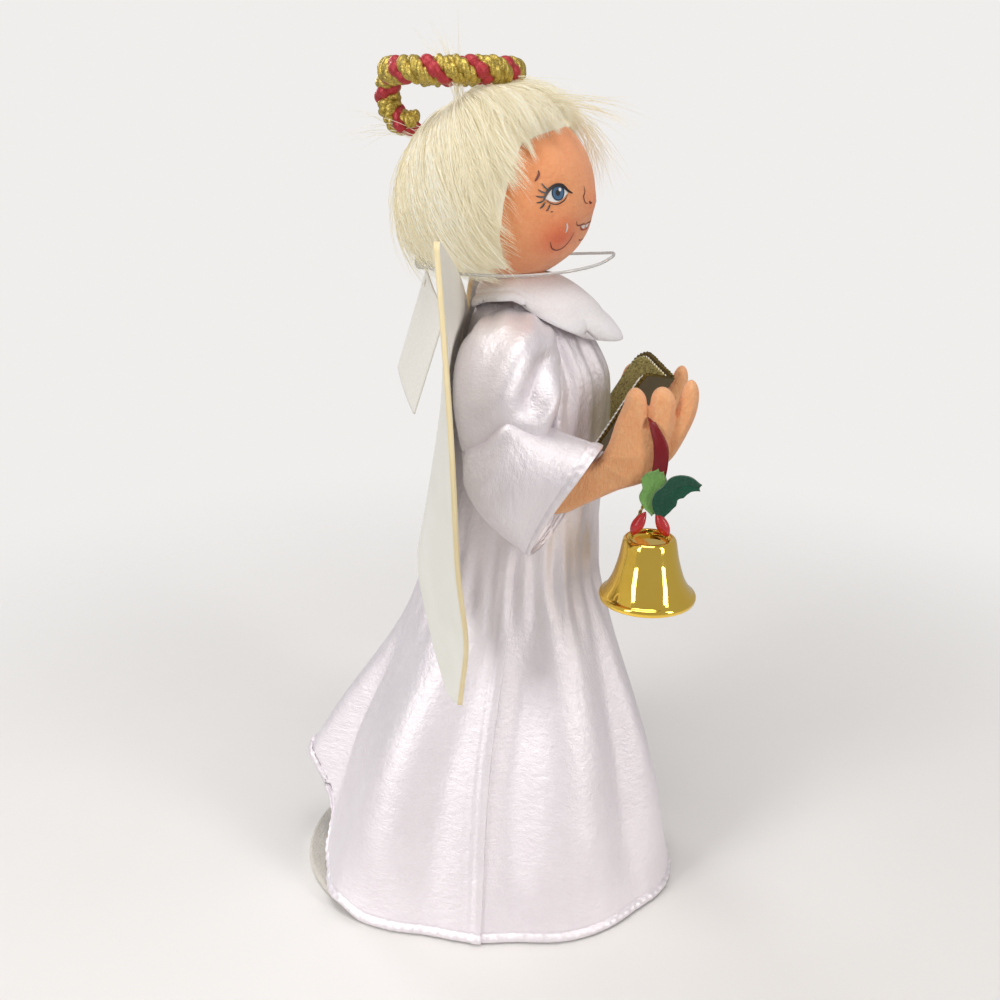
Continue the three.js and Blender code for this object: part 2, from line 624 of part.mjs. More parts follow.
// Rings of the sleeve. The long half size lies across the sleeve in the plane that the arm bends in.
function sleeveRings(wall) {
  return Array.from({ length: SLEEVE_ROWS }, (_, i) => {
    const t = i / (SLEEVE_ROWS - 1);
    const centre = SLEEVE_LINE.getPointAt(t);
    const tangent = i === 0 ? armPoint(1, 0, -NEARLY_LEVEL) : SLEEVE_LINE.getTangentAt(t);
    const long = vector(0, tangent.z, -tangent.y).normalize();
    const short = tangent.clone().cross(long).normalize();
    const halfLong = atLevel(SLEEVE_SIZES, t, 'long') - wall;
    const halfShort = atLevel(SLEEVE_SIZES, t, 'short') - wall;
    return Array.from({ length: SLEEVE_SIDES }, (__, j) => {
      const angle = (2 * Math.PI * j) / SLEEVE_SIDES;
      return centre.clone()
        .addScaledVector(long, halfLong * Math.cos(angle))
        .addScaledVector(short, halfShort * Math.sin(angle));
    });
  });
}

function armForm() {
  const frames = ARM_LINE.computeFrenetFrames(ARM_RINGS - 1, false);
  const rings = Array.from({ length: ARM_RINGS }, (_, i) => {
    const centre = ARM_LINE.getPointAt(i / (ARM_RINGS - 1));
    return Array.from({ length: ARM_SIDES }, (__, j) => {
      const angle = (2 * Math.PI * j) / ARM_SIDES;
      return centre.clone()
        .addScaledVector(frames.normals[i], ARM_RADIUS * Math.cos(angle))
        .addScaledVector(frames.binormals[i], ARM_RADIUS * Math.sin(angle));
    });
  });
  return loft(rings);
}

// A finger from the palm to its tip, flattened across the hand.
function finger(root, tip, radius) {
  const line = tip.clone().sub(root);
  const capsule = new THREE.CapsuleGeometry(radius, line.length(), 3, 8);
  capsule.applyQuaternion(new THREE.Quaternion().setFromUnitVectors(vector(0, 1, 0), line.clone().normalize()));
  const middle = root.clone().add(tip).multiplyScalar(0.5);
  return capsule.scale(HAND_THICKNESS / 2 / radius, 1, 1).translate(middle.x, middle.y, middle.z);
}

function handForm() {
  const inHand = ({ front, up }) => armPoint(HAND_X, front, up);
  const palm = egg({ x: HAND_THICKNESS / 2, y: PALM.halfLength, z: PALM.halfHeight }, inHand(PALM), 12, 8);
  return [palm, ...FINGERS.map(({ root, tip, radius }) => finger(inHand(root), inHand(tip), radius))];
}

// The ribbon: a strap hooked over the gap between two fingers, down the outside of the hand and under the palm.
function ribbonStrap(grow) {
  const outside = HAND_X + HAND_THICKNESS / 2 + SEAT;
  const [top, foot] = [RIBBON_TOP - SHOULDER_Z, RIBBON_FOOT - SHOULDER_Z];
  const runs = [
    [vector(outside, 0, foot), vector(outside + RIBBON_THICKNESS, 0, top + RIBBON_THICKNESS)],
    [vector(HAND_X, 0, top), vector(outside + RIBBON_THICKNESS, 0, top + RIBBON_THICKNESS)],
    [vector(HAND_X, 0, foot), vector(outside + RIBBON_THICKNESS, 0, foot + RIBBON_THICKNESS)],
  ];
  const middle = SHOULDER_Y - BELL_Y;
  return join(...runs.map(([low, high]) => {
    const size = high.clone().sub(low);
    const run = new THREE.BoxGeometry(size.x + 2 * grow, RIBBON_WIDTH + 2 * grow, size.z + 2 * grow);
    const centre = low.clone().add(high).multiplyScalar(0.5);
    return run.translate(-centre.x, -middle, centre.z);
  }));
}

function buildArms() {
  const sleeve = sleeveWall(sleeveRings(0), sleeveRings(SATIN));
  const along = (from, to, count) => Array.from(
    { length: count },
    (_, i) => ARM_LINE.getPointAt(THREE.MathUtils.lerp(from, to, i / (count - 1))),
  );
  const wireLine = new THREE.CatmullRomCurve3(along(ARM_WIRE_FROM, ARM_WIRE_TO, 9));
  const outOfRoot = armPoint(ARM_ROOT - BORE_OVERRUN, 0, 0);
  const boreLine = new THREE.CatmullRomCurve3([outOfRoot, ...along(0, ARM_BORE_TO, 11).slice(1)]);
  const bore = tube(boreLine, WIRE_RADIUS + SEAT, 14, 6);
  const shoulderBore = wireBore(armPoint(SHOULDER_BORE_HALF, 0, 0), armPoint(0, 0, 0));
  const bare = join(armForm(), ...handForm());
  const wire = tube(wireLine, WIRE_RADIUS, 12, 6);
  for (const [name, drop] of [['right', 0], ['left', LEFT_ARM_DROP]]) {
    const shoulder = new THREE.Group();
    shoulder.position.set(0, SHOULDER_Y, SHOULDER_Z);
    shoulder.rotation.x = radians(drop);
    const arm = name === 'right' ? cut(bare, bore, shoulderBore, ribbonStrap(SEAT)) : cut(bare, bore, shoulderBore);
    const turned = name === 'right' ? (shape) => shape : mirrored;
    add(shoulder, `arm_${name}`, turned(arm), FELT_SKIN);
    add(shoulder, `arm_wire_${name}`, turned(wire), STEEL_WIRE);
    add(shoulder, `sleeve_${name}`, turned(sleeve), WHITE_SATIN);
    if (name === 'right') add(shoulder, 'ribbon', ribbonStrap(0), RED_SATIN);
    doll.add(shoulder);
  }
  const end = (side) => vector(side * SHOULDER_WIRE_HALF, SHOULDER_Y, SHOULDER_Z);
  const across = bar(end(-1), end(1), WIRE_RADIUS);
  add(doll, 'shoulder_wire', across, STEEL_WIRE);
}

// The collar lies round the neck and droops to a scalloped edge, longer in front than behind.
function buildCollar() {
  const sides = 6 * SCALLOPS;
  const inner = NECK_RADIUS + SEAT;
  const top = NECKLINE_LEVEL + COLLAR_STAND + FELT;
  const rings = (under) => Array.from({ length: COLLAR_ROWS }, (_, i) => {
    const t = i / (COLLAR_ROWS - 1);
    return Array.from({ length: sides }, (__, j) => {
      const angle = (2 * Math.PI * j) / sides;
      const forward = Math.cos(angle);
      const end = forward > 0 ? COLLAR_FRONT : COLLAR_BACK;
      const reach = Math.hypot(end * forward, COLLAR_SIDE * Math.sin(angle));
      const scallop = SCALLOP_DEPTH * Math.abs(Math.sin((SCALLOPS * angle) / 2)) * t;
      const thinner = COLLAR_EDGE_THINNING * under * t;
      const radius = THREE.MathUtils.lerp(inner, reach - SCALLOP_DEPTH, t) + scallop - thinner;
      const drop = THREE.MathUtils.lerp(COLLAR_DROP_BACK, COLLAR_DROP_FRONT, (1 + forward) / 2);
      const z = top - drop * t ** COLLAR_DROOP_POWER - under + thinner;
      return vector(radius * Math.sin(angle), NECK_Y - radius * forward, z);
    });
  });
  add(doll, 'collar', sleeveWall(rings(0), rings(FELT)), WHITE_FELT);
}

// One wing: a thin board between an inner and an outer outline, swept forward towards its edge.
function wingBoard() {
  const spline = (corners, axis = 'x') => new THREE.SplineCurve(corners.map((c) => new THREE.Vector2(c[axis], c.z)));
  const tip = ({ x, y, z }, side, up) => ({ x: x + side * WING_TIP_ROUND, y, z: z - up * WING_TIP_ROUND });
  const innerLine = spline([tip(WING_TIP, -1, 1), WING_ROOT_TOP, WING_ROOT_FOOT, WING_WAIST, tip(WING_FOOT, -1, -1)]);
  const outer = [tip(WING_TIP, 1, 1), WING_SIDE, tip(WING_FOOT, 1, -1)];
  const [outerLine, edgeLine] = [spline(outer), spline(outer, 'y')];
  const face = (back) => Array.from({ length: WING_ROWS }, (_, i) => {
    const [a, b, edge] = [innerLine, outerLine, edgeLine].map((line) => line.getPoint(i / (WING_ROWS - 1)));
    return Array.from({ length: WING_COLUMNS }, (__, j) => {
      const [x, z] = a.clone().lerp(b, j / (WING_COLUMNS - 1)).toArray();
      const out = Math.max(x, WING_ROOT_TOP.x);
      const level = THREE.MathUtils.clamp(z, WING_WAIST.z, WING_ROOT_TOP.z);
      const root = atLevel(GOWN_LEVELS, level, 'back') + WING_STAND_OFF;
      const sweep = (edge.x - root) * (out / b.x) ** WING_SWEEP_POWER;
      return vector(-out, root + sweep + back * WING_THICKNESS, z);
    });
  });
  return sheet(face(1), face(0));
}

function buildWings() {
  const wing = wingBoard();
  add(doll, 'wing_right', wing, WING_BOARD);
  add(doll, 'wing_left', mirrored(wing), WING_BOARD);
}

// The songbook: two cloth covers that meet at the spine, each lined with a page card.
function buildSongbook() {
  const book = new THREE.Group();
  book.position.set(0, BOOK_SPINE_FOOT.y, BOOK_SPINE_FOOT.z);
  book.rotation.x = radians(BOOK_LEAN);
  const reach = HAND_X - HAND_THICKNESS / 2 - SEAT;
  const open = radians(BOOK_HALF_OPEN);
  const width = (reach - BOOK_COVER * Math.cos(open)) / Math.sin(open) - BOOK_SPINE_GAP;
  for (const [name, side] of [['right', -1], ['left', 1]]) {
    const half = new THREE.Group();
    half.rotation.z = side > 0 ? Math.PI / 2 - open : Math.PI / 2 + open;
    const cover = new THREE.BoxGeometry(width, BOOK_COVER, BOOK_HEIGHT);
    cover.translate(BOOK_SPINE_GAP + width / 2, (-side * BOOK_COVER) / 2, BOOK_HEIGHT / 2);
    const page = new THREE.BoxGeometry(width - 2 * PAGE_MARGIN, CARD, BOOK_HEIGHT - 2 * PAGE_MARGIN);
    page.translate(BOOK_SPINE_GAP + width / 2, side * (SEAT + CARD / 2), BOOK_HEIGHT / 2);
    add(half, `book_cover_${name}`, cover, GOLD_CLOTH);
    add(half, `book_page_${name}`, page, WHITE_CARD);
    book.add(half);
  }
  doll.add(book);
}

// The bell's outside: radius beyond the crown as a share of the lip's overhang, and height as a share.
function bellShell() {
  const overhang = BELL_LIP_RADIUS - BELL_CROWN_RADIUS;
  const top = BELL_HEIGHT - BELL_DISH;
  const outside = BELL_PROFILE.map(([share, height]) => [BELL_CROWN_RADIUS + share * overhang, height * BELL_HEIGHT]);
  const inside = outside.map(([r, z]) => [r - BELL_WALL, Math.min(z, top - BELL_WALL)]).reverse();
  const floor = [[outside.at(-1)[0] - BELL_WALL, top], [0, top], [0, top - BELL_WALL]];
  const profile = [...outside, ...floor, ...inside, outside[0]].map(([r, z]) => new THREE.Vector2(r, z));
  return fromSolid(solid(new THREE.LatheGeometry(profile, 30).rotateX(Math.PI / 2)));
}

function buildBell() {
  const at = (geometry, z) => geometry.translate(BELL_X, BELL_Y, z);
  const crown = BELL_LIP_Z + BELL_HEIGHT - BELL_DISH;
  const knot = RIBBON_FOOT - SEAT;
  add(doll, 'bell', at(bellShell(), BELL_LIP_Z), BELL_GOLD);
  const place = (z) => vector(BELL_X, BELL_Y, z);
  add(doll, 'bell_hanger', bar(place(crown + SEAT), place(knot), HANGER_RADIUS, 8), GOLD_CORD);

  const ceiling = crown - BELL_WALL - SEAT;
  const rod = bar(place(ceiling - CLAPPER_LENGTH), place(ceiling), HANGER_RADIUS, 8);
  const round = { x: CLAPPER_RADIUS, y: CLAPPER_RADIUS, z: CLAPPER_RADIUS };
  const ball = egg(round, place(ceiling - CLAPPER_LENGTH), 14, 8);
  add(doll, 'clapper', join(rod, ball), BELL_GOLD);

  const rim = BELL_LIP_Z + BELL_HEIGHT;
  const lean = radians(BERRY_LEAN);
  const half = { x: BERRY_RADIUS, y: BERRY_RADIUS, z: BERRY_LENGTH / 2 };
  const wide = Math.hypot(half.y * Math.cos(lean), half.z * Math.sin(lean));
  const high = Math.hypot(half.y * Math.sin(lean), half.z * Math.cos(lean));
  for (const [name, side] of [['front', -1], ['back', 1]]) {
    const middle = vector(BELL_X, BELL_Y + side * (HANGER_RADIUS + SEAT + wide), rim + SEAT + high);
    const bud = egg(half, vector(0, 0, 0), 12, 8).rotateX(side * lean);
    add(doll, `berry_${name}`, bud.translate(middle.x, middle.y, middle.z), RED_LACQUER);
  }
}

// A holly leaf: a felt shape with scooped sides, standing upright beside the knot.
function hollyLeaf() {
  const leaf = new THREE.Shape();
  const place = (side, [x, y]) => [(side * x * LEAF_WIDTH) / 2, y * LEAF_LENGTH];
  const corners = [[0, 0], ...LEAF_OUTLINE.map(({ to }) => to)];
  leaf.moveTo(0, 0);
  LEAF_OUTLINE.forEach(({ bend, to }) => leaf.quadraticCurveTo(...place(1, bend), ...place(1, to)));
  LEAF_OUTLINE.map(({ bend }, i) => [bend, corners[i]]).reverse()
    .forEach(([bend, to]) => leaf.quadraticCurveTo(...place(-1, bend), ...place(-1, to)));
  const flat = { depth: LEAF_THICKNESS, bevelEnabled: false, curveSegments: 4 };
  return fromSolid(solid(new THREE.ExtrudeGeometry(leaf, flat)));
}

function buildHolly() {
  const outside = HAND_X + HAND_THICKNESS / 2 + SEAT + RIBBON_THICKNESS + SEAT;
  const leaves = [
    ['holly_leaf_light', LIGHT_LEAF, LIGHT_GREEN],
    ['holly_leaf_dark', DARK_LEAF, DARK_GREEN],
  ];
  leaves.forEach(([name, { lean, above }, finish], layer) => {
    const x = -outside - layer * (LEAF_THICKNESS + SEAT);
    const leaf = hollyLeaf().rotateZ(radians(lean)).rotateX(Math.PI / 2).rotateZ(-Math.PI / 2);
    add(doll, name, leaf.translate(x, BELL_Y, RIBBON_FOOT + above), finish);
  });
}

function buildTag() {
  const hang = vector(TAG_HANG.x, TAG_HANG.y, TAG_HANG.z);
  const card = new THREE.BoxGeometry(TAG_WIDTH, CARD, TAG_LENGTH);
  card.translate(TAG_HOLE.x - TAG_WIDTH / 2, 0, TAG_HOLE.z - TAG_LENGTH / 2);
  card.rotateY(radians(-TAG_TILT)).rotateX(radians(TAG_LEAN)).rotateZ(radians(TAG_FACE));
  add(doll, 'hang_tag', card.translate(hang.x, hang.y, hang.z), WHITE_CARD);

  const claspZ = HAIR_BOTTOM - SEAT - CLASP_SIZE.z / 2;
  const clasp = new THREE.BoxGeometry(CLASP_SIZE.x, CLASP_SIZE.y, CLASP_SIZE.z);
  add(doll, 'tag_clasp', clasp.translate(hang.x, hang.y, claspZ), CLEAR_NYLON);

  const end = CLASP_SIZE.x / 2 + SEAT;
  const half = [vector(end, hang.y, claspZ), ...LOOP_POINTS.map(({ x, y, z }) => vector(x, y, z))];
  const other = half.map((point) => vector(-point.x, point.y, point.z)).reverse();
  const route = new THREE.CatmullRomCurve3([...half, vector(0, LOOP_FRONT.y, LOOP_FRONT.z), ...other]);
  add(doll, 'tag_loop', tube(route, LOOP_RADIUS, LOOP_STEPS, 8), CLEAR_NYLON);
}

buildBase();
buildLeg(-1, 'right');
buildLeg(1, 'left');
buildTorso();
buildNeck();
buildGown();
buildCollar();
buildArms();
buildWings();
buildHead();
buildSongbook();
buildHolly();
buildBell();
buildTag();

headGroup.position.set(0, NECK_Y, 0);
headGroup.rotation.z = radians(-HEAD_TURN);
doll.add(headGroup);

// The origin goes to the floor under the middle of the doll's outline.
const angel = new THREE.Group();
angel.add(doll);
angel.updateMatrixWorld(true);
const outline = new THREE.Box3().setFromObject(doll, true);
const middle = outline.getCenter(vector(0, 0, 0));
doll.position.set(-middle.x, -middle.y, -outline.min.z);

export default angel;
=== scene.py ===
import math

import bmesh
import bpy
import numpy as np
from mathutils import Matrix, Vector


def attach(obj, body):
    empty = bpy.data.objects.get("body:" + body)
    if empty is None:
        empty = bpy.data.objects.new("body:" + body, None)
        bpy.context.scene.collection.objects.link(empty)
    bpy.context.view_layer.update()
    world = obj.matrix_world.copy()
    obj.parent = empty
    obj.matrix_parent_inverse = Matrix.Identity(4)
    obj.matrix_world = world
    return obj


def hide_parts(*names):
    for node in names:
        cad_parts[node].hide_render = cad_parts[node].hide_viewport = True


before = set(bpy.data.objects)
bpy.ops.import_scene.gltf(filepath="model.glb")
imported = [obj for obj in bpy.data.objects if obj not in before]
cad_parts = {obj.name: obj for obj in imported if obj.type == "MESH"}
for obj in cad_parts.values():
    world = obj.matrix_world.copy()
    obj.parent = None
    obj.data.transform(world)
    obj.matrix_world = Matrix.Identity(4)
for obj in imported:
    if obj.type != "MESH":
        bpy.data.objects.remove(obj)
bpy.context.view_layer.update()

# Floor and light. A plain pale table top in an even pale room, with four soft lamps: over the viewer's left
# shoulder, above, before the doll on the viewer's side, and behind it.
MM = 0.001
# from the middle of the doll's body, where its sizes start, to the middle of its outline
SHIFT = np.array([0, 0.34, 0])
FLOOR_LEVEL, FLOOR_SIDES, FLOOR_RINGS = -0.06, 96, (10, 100, 250, 450)
FADE_START, FADE_END = 0.1, 0.42
ROOM_LIGHT, ROOM_GLOSS = 0.34, 0.25


class Socket:
    """One output of a shader node. Each operator adds a Math node and gives that node's output."""

    def __init__(self, tree, output):
        self.tree, self.output = tree, output

    def maths(self, operation, *values):
        return self.tree.node("ShaderNodeMath", {"operation": operation}, dict(enumerate(values)))

    def __add__(self, other):
        return self.maths("ADD", self, other)

    def __sub__(self, other):
        return self.maths("SUBTRACT", self, other)

    def __rsub__(self, other):
        return self.maths("SUBTRACT", other, self)

    def __mul__(self, other):
        return self.maths("MULTIPLY", self, other)

    __radd__, __rmul__ = __add__, __mul__


class Tree:
    """The nodes of a material or a world. node() adds any node and gives one of its outputs."""

    def __init__(self, owner):
        owner.use_nodes = True
        self.owner, self.nodes, self.links = owner, owner.node_tree.nodes, owner.node_tree.links

    def put(self, inputs, values):
        for key, value in values.items():
            if isinstance(value, Socket):
                self.links.new(value.output, inputs[key])
            else:
                inputs[key].default_value = value

    def node(self, kind, settings=None, values=None, output=0):
        made = self.nodes.new(kind)
        for key, value in (settings or {}).items():
            setattr(made, key, value)
        self.put(made.inputs, values or {})
        return Socket(self, made.outputs[output])


def colour(red, green, blue):
    """A screen colour of 0 to 255 as the linear values that a shader takes."""
    screen = np.array([red, green, blue]) / 255
    linear = np.where(screen <= 0.04045, screen / 12.92, ((screen + 0.055) / 1.055) ** 2.4)
    return (*linear.tolist(), 1)


class Finish(Tree):
    """A material with one Principled shader, whose sockets set() fills, and the nodes that finishes share."""

    def __init__(self, name, **values):
        super().__init__(bpy.data.materials.new(name))
        self.set(**values)

    def set(self, **values):
        named = {key.replace("_", " "): value for key, value in values.items()}
        self.put(self.nodes["Principled BSDF"].inputs, named)

    def place(self):
        return self.node("ShaderNodeTexCoord", output="Object")

    def cloth_place(self):
        return self.node("ShaderNodeUVMap", {"uv_map": "cloth"})

    def tag(self, name):
        return self.node("ShaderNodeAttribute", {"attribute_name": name}, output="Fac")

    def noise(self, where, scale, detail=3, rough=0.55, stretch=None):
        """Soft noise, drawn out along the axes whose stretch is small."""
        if stretch:
            where = self.node("ShaderNodeMapping", None, {"Vector": where, "Scale": stretch})
        values = {"Vector": where, "Scale": scale, "Detail": detail, "Roughness": rough}
        return self.node("ShaderNodeTexNoise", None, values)

    def cells(self, where, scale):
        """A random number for each cell of a random net."""
        return self.node("ShaderNodeTexVoronoi", None, {"Vector": where, "Scale": scale}, "Color")

    def mix(self, share, low, high):
        return self.node("ShaderNodeMix", {"data_type": "RGBA"}, {0: share, 6: low, 7: high}, 2)

    def tint(self, share, low, high):
        """The base colour, from a low to a high screen colour."""
        self.set(Base_Color=self.mix(share, colour(*low), colour(*high)))

    def bump(self, height, distance, strength=1.0):
        values = {"Height": height, "Distance": distance, "Strength": strength}
        self.set(Normal=self.node("ShaderNodeBump", None, values))


def full_turn(count):
    return np.linspace(0, 2 * np.pi, count, endpoint=False)


def grid_faces(rows, columns, round_columns=False, round_rows=False):
    """The four corner numbers of each cell of a grid of points, closed round either way where asked."""
    i = np.arange(rows if round_rows else rows - 1)[:, None]
    j = np.arange(columns if round_columns else columns - 1)[None, :]
    up, on = (i + 1) % rows, (j + 1) % columns
    corners = (i * columns + j, i * columns + on, up * columns + on, up * columns + j)
    return np.stack(np.broadcast_arrays(*corners), -1).reshape(-1, 4)


def lathe(profile, sides, centre):
    """Rings of points: a profile of radius and height, turned about an upright axis."""
    r, z = np.asarray(profile, float).T
    around = full_turn(sides)
    rings = np.stack([np.outer(r, np.cos(around)), np.outer(r, np.sin(around)), np.outer(z, np.ones(sides))], -1)
    return rings + np.asarray(centre, float)


def make_mesh(name, shape, finishes, finish_of=None, cloth=None, tags=None, turn_out=True, shift=SHIFT):
    """A mesh of a shape, which is points in millimetres and a list of face arrays. It may have a finish for each
    face, and cloth UVs and tags for each point. Its faces are turned outwards."""
    points, faces = shape
    mesh = bpy.data.meshes.new(name)
    corners = np.concatenate([array.ravel() for array in faces]).astype(np.int32)
    sizes = np.concatenate([np.full(len(array), array.shape[1]) for array in faces]).astype(np.int32)
    mesh.vertices.add(len(points))
    mesh.vertices.foreach_set("co", ((points + shift) * MM).astype(np.float32).ravel())
    mesh.loops.add(len(corners))
    mesh.loops.foreach_set("vertex_index", corners)
    mesh.polygons.add(len(sizes))
    mesh.polygons.foreach_set("loop_start", np.concatenate([[0], np.cumsum(sizes)[:-1]]).astype(np.int32))
    mesh.polygons.foreach_set("loop_total", sizes)
    mesh.polygons.foreach_set("use_smooth", np.ones(len(sizes), bool))
    for finish in finishes:
        mesh.materials.append(finish.owner)
    if finish_of is not None:
        mesh.polygons.foreach_set("material_index", np.asarray(finish_of, np.int32))
    mesh.update(calc_edges=True)
    if cloth is not None:
        layer = mesh.uv_layers.new(name="cloth")
        layer.data.foreach_set("uv", np.asarray(cloth, np.float32)[corners].ravel())
    for key, value in (tags or {}).items():
        layer = mesh.attributes.new(key, "FLOAT", "POINT")
        layer.data.foreach_set("value", np.asarray(value, np.float32))
    if turn_out:
        work = bmesh.new()
        work.from_mesh(mesh)
        bmesh.ops.recalc_face_normals(work, faces=work.faces[:])
        work.to_mesh(mesh)
        work.free()
    return mesh


def add_object(name, data):
    thing = bpy.data.objects.new(name, data)
    bpy.context.scene.collection.objects.link(thing)
    return thing


floor_paint = Finish("floor_paint", Roughness=0.9)
floor_at = floor_paint.place()
floor_paint.tint(floor_paint.noise(floor_at, 9), (232, 230, 228), (240, 238, 236))
floor_away = floor_paint.node("ShaderNodeVectorMath", {"operation": "LENGTH"}, {0: floor_at}, "Value")
fade = {"Value": floor_away, "From Min": FADE_START, "From Max": FADE_END, "To Min": 1.0, "To Max": 0.0}
floor_paint.set(Alpha=floor_paint.node("ShaderNodeMapRange", {"interpolation_type": "SMOOTHSTEP"}, fade))
floor_points = lathe([(ring, FLOOR_LEVEL) for ring in FLOOR_RINGS], FLOOR_SIDES, (0, 0, 0)).reshape(-1, 3)
floor_faces = [grid_faces(len(FLOOR_RINGS), FLOOR_SIDES, True), np.arange(FLOOR_SIDES)[None]]
floor_mesh = make_mesh("floor", (floor_points, floor_faces), [floor_paint], turn_out=False, shift=0)
add_object("floor", floor_mesh)

room = Tree(bpy.data.worlds.new("room"))
bpy.context.scene.world = room.owner
room_light = room.nodes["Background"]
room.put(room_light.inputs, {"Color": colour(232, 230, 232), "Strength": ROOM_LIGHT})
room_seen = room.node("ShaderNodeBackground", None, {"Color": colour(240, 238, 236), "Strength": 1})
camera_ray, clear_ray, glossy_ray = [
    room.node("ShaderNodeLightPath", output=f"Is {kind} Ray") for kind in ("Camera", "Transmission", "Glossy")
]
seen = camera_ray + clear_ray + glossy_ray * ROOM_GLOSS
shares = {0: seen, 1: Socket(room, room_light.outputs[0]), 2: room_seen}
room.put(room.nodes["World Output"].inputs, {"Surface": room.node("ShaderNodeMixShader", None, shares)})


def add_lamp(name, place, aim, wide, tall, power, tint):
    """An upright lamp of a width and a height at a place, turned towards a point."""
    lamp = bpy.data.lights.new(name, "AREA")
    lamp.shape, lamp.size, lamp.size_y = "RECTANGLE", wide, tall
    lamp.energy, lamp.color = power, tint
    thing = add_object(name, lamp)
    thing.location = place
    thing.rotation_euler = (Vector(aim) - Vector(place)).to_track_quat("-Z", "Y").to_euler()


add_lamp("lamp_over_shoulder", (-0.58, 0.52, 0.4), (0, 0, 0.12), 0.2, 0.6, 3.1, (1, 0.99, 0.97))
add_lamp("lamp_above", (-0.22, 0.02, 0.95), (0, 0, 0.12), 0.5, 0.4, 3.4, (1, 0.98, 0.95))
add_lamp("lamp_front", (-0.46, -0.66, 0.36), (0, 0, 0.12), 0.16, 0.6, 2.5, (1, 0.97, 0.93))
add_lamp("lamp_behind", (0.55, 0.5, 0.55), (0, 0, 0.14), 0.3, 0.3, 1.5, (0.96, 0.97, 1))

# Camera, at the viewer's eye in the photograph: level with the doll's head, a little forward of its right
# side, looking down at its waist.
EYE_AHEAD, LOOK_DOWN = math.radians(6.5), math.radians(19.7)
EYE_Y, EYE_HEIGHT, EYE_AWAY = -3, 226.4, 293.7
IMAGE_PIXELS, FOCAL_PIXELS, SENSOR_MM = 1000, 1082, 36
camera = add_object("camera", bpy.data.cameras.new("camera"))
camera.data.sensor_width, camera.data.lens = SENSOR_MM, SENSOR_MM * FOCAL_PIXELS / IMAGE_PIXELS
camera.data.clip_start, camera.data.clip_end = 0.01, 50
ahead = np.array([math.cos(EYE_AHEAD), math.sin(EYE_AHEAD), 0])
camera.location = (SHIFT + (0, EYE_Y, EYE_HEIGHT) - EYE_AWAY * ahead) * MM
look = Vector(ahead * math.cos(LOOK_DOWN) - (0, 0, math.sin(LOOK_DOWN)))
camera.rotation_euler = look.to_track_quat("-Z", "Y").to_euler()
bpy.context.scene.camera = camera
bpy.context.scene.view_settings.view_transform = "Standard"

# Tag loop. One length of clear nylon line, moulded at both ends into the tag's clasp behind the head. It is
# stiff enough to stand out in a ring under the chin.
LOOP_RADIUS, LOOP_SAMPLES, CLASP_Y, CLASP_Z = 0.4, 160, 16.6, 188.5
LOOP_HALF = [
    (2.8, CLASP_Y, CLASP_Z), (8, 15.4, 188.3), (15, 9.5, 188), (19.6, 0, 188), (21, -11, 188.2),
    (18.6, -21.5, 189), (12.4, -29, 190), (5, -32.6, 191),
]
LOOP_FRONT = (0, -33.2, 191.2)


def cubic(a, b, c, d, t):
    """A point at a share t of the way from b to c, on the cubic whose slope at b is half the step from a to c and
    at c half the step from b to d."""
    return b + 0.5 * t * (c - a + t * (2 * a - 5 * b + 4 * c - d + t * (3 * (b - c) + d - a)))


def run_along(path):
    """The distance along a path to each of its points."""
    return np.concatenate([[0], np.cumsum(np.linalg.norm(np.diff(path, axis=0), axis=1))])


def smooth_path(points, count):
    """Evenly spaced samples of the cubics through points. The path goes on straight past both ends."""
    knots = np.asarray(points, float)
    ends = np.concatenate([2 * knots[:1] - knots[1:2], knots, 2 * knots[-1:] - knots[-2:-1]])
    at = np.linspace(0, len(knots) - 1 - 1e-9, 40 * len(knots))
    k = at.astype(int)
    curve = cubic(ends[k], ends[k + 1], ends[k + 2], ends[k + 3], (at % 1)[:, None])
    run = run_along(curve)
    even = np.linspace(0, run[-1], count)
    return np.stack([np.interp(even, run, values) for values in curve.T], -1)


nylon = Finish("clear_nylon", Base_Color=colour(226, 226, 224), Roughness=0.18, IOR=1.53)
nylon.set(Transmission_Weight=0.55, Alpha=0.9)
nylon.bump(nylon.noise(nylon.place(), 900), 0.00004)
loop_route = [*LOOP_HALF, LOOP_FRONT, *[(-x, y, z) for x, y, z in reversed(LOOP_HALF)]]
loop_path = smooth_path(np.array(loop_route) + SHIFT, LOOP_SAMPLES)
loop_curve = bpy.data.curves.new("tag_loop_line", "CURVE")
loop_curve.dimensions, loop_curve.bevel_depth, loop_curve.bevel_resolution = "3D", LOOP_RADIUS * MM, 3
loop_curve.use_fill_caps = True
loop_line = loop_curve.splines.new("POLY")
loop_line.points.add(LOOP_SAMPLES - 1)
loop_line.points.foreach_set("co", np.c_[loop_path * MM, np.ones(LOOP_SAMPLES)].astype(np.float32).ravel())
loop_curve.materials.append(nylon.owner)
tag_loop = add_object("tag_loop_line", loop_curve)
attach(tag_loop, "body")
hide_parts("tag_loop")

# Base. A round board under a glued cover of cream felt, which carries the ends of both leg wires. Its rim
# shows behind the hem.
BASE_RADIUS, BASE_THICKNESS, BASE_X, BASE_Y, BASE_SIDES = 41.5, 2.4, 2, 18, 128


def capped(rings):
    """Rings of points, one after the other, skinned over and closed at both ends by a fan."""
    rows, sides = rings.shape[:2]
    points = np.concatenate([rings.reshape(-1, 3), rings[:1].mean(1), rings[-1:].mean(1)])
    start, pole = np.arange(sides), np.full(sides, rows * sides)
    end = start + (rows - 1) * sides
    first = np.stack([np.roll(start, -1), start, pole], -1)
    last = np.stack([end, np.roll(end, -1), pole + 1], -1)
    return points, [grid_faces(rows, sides, True), first, last]


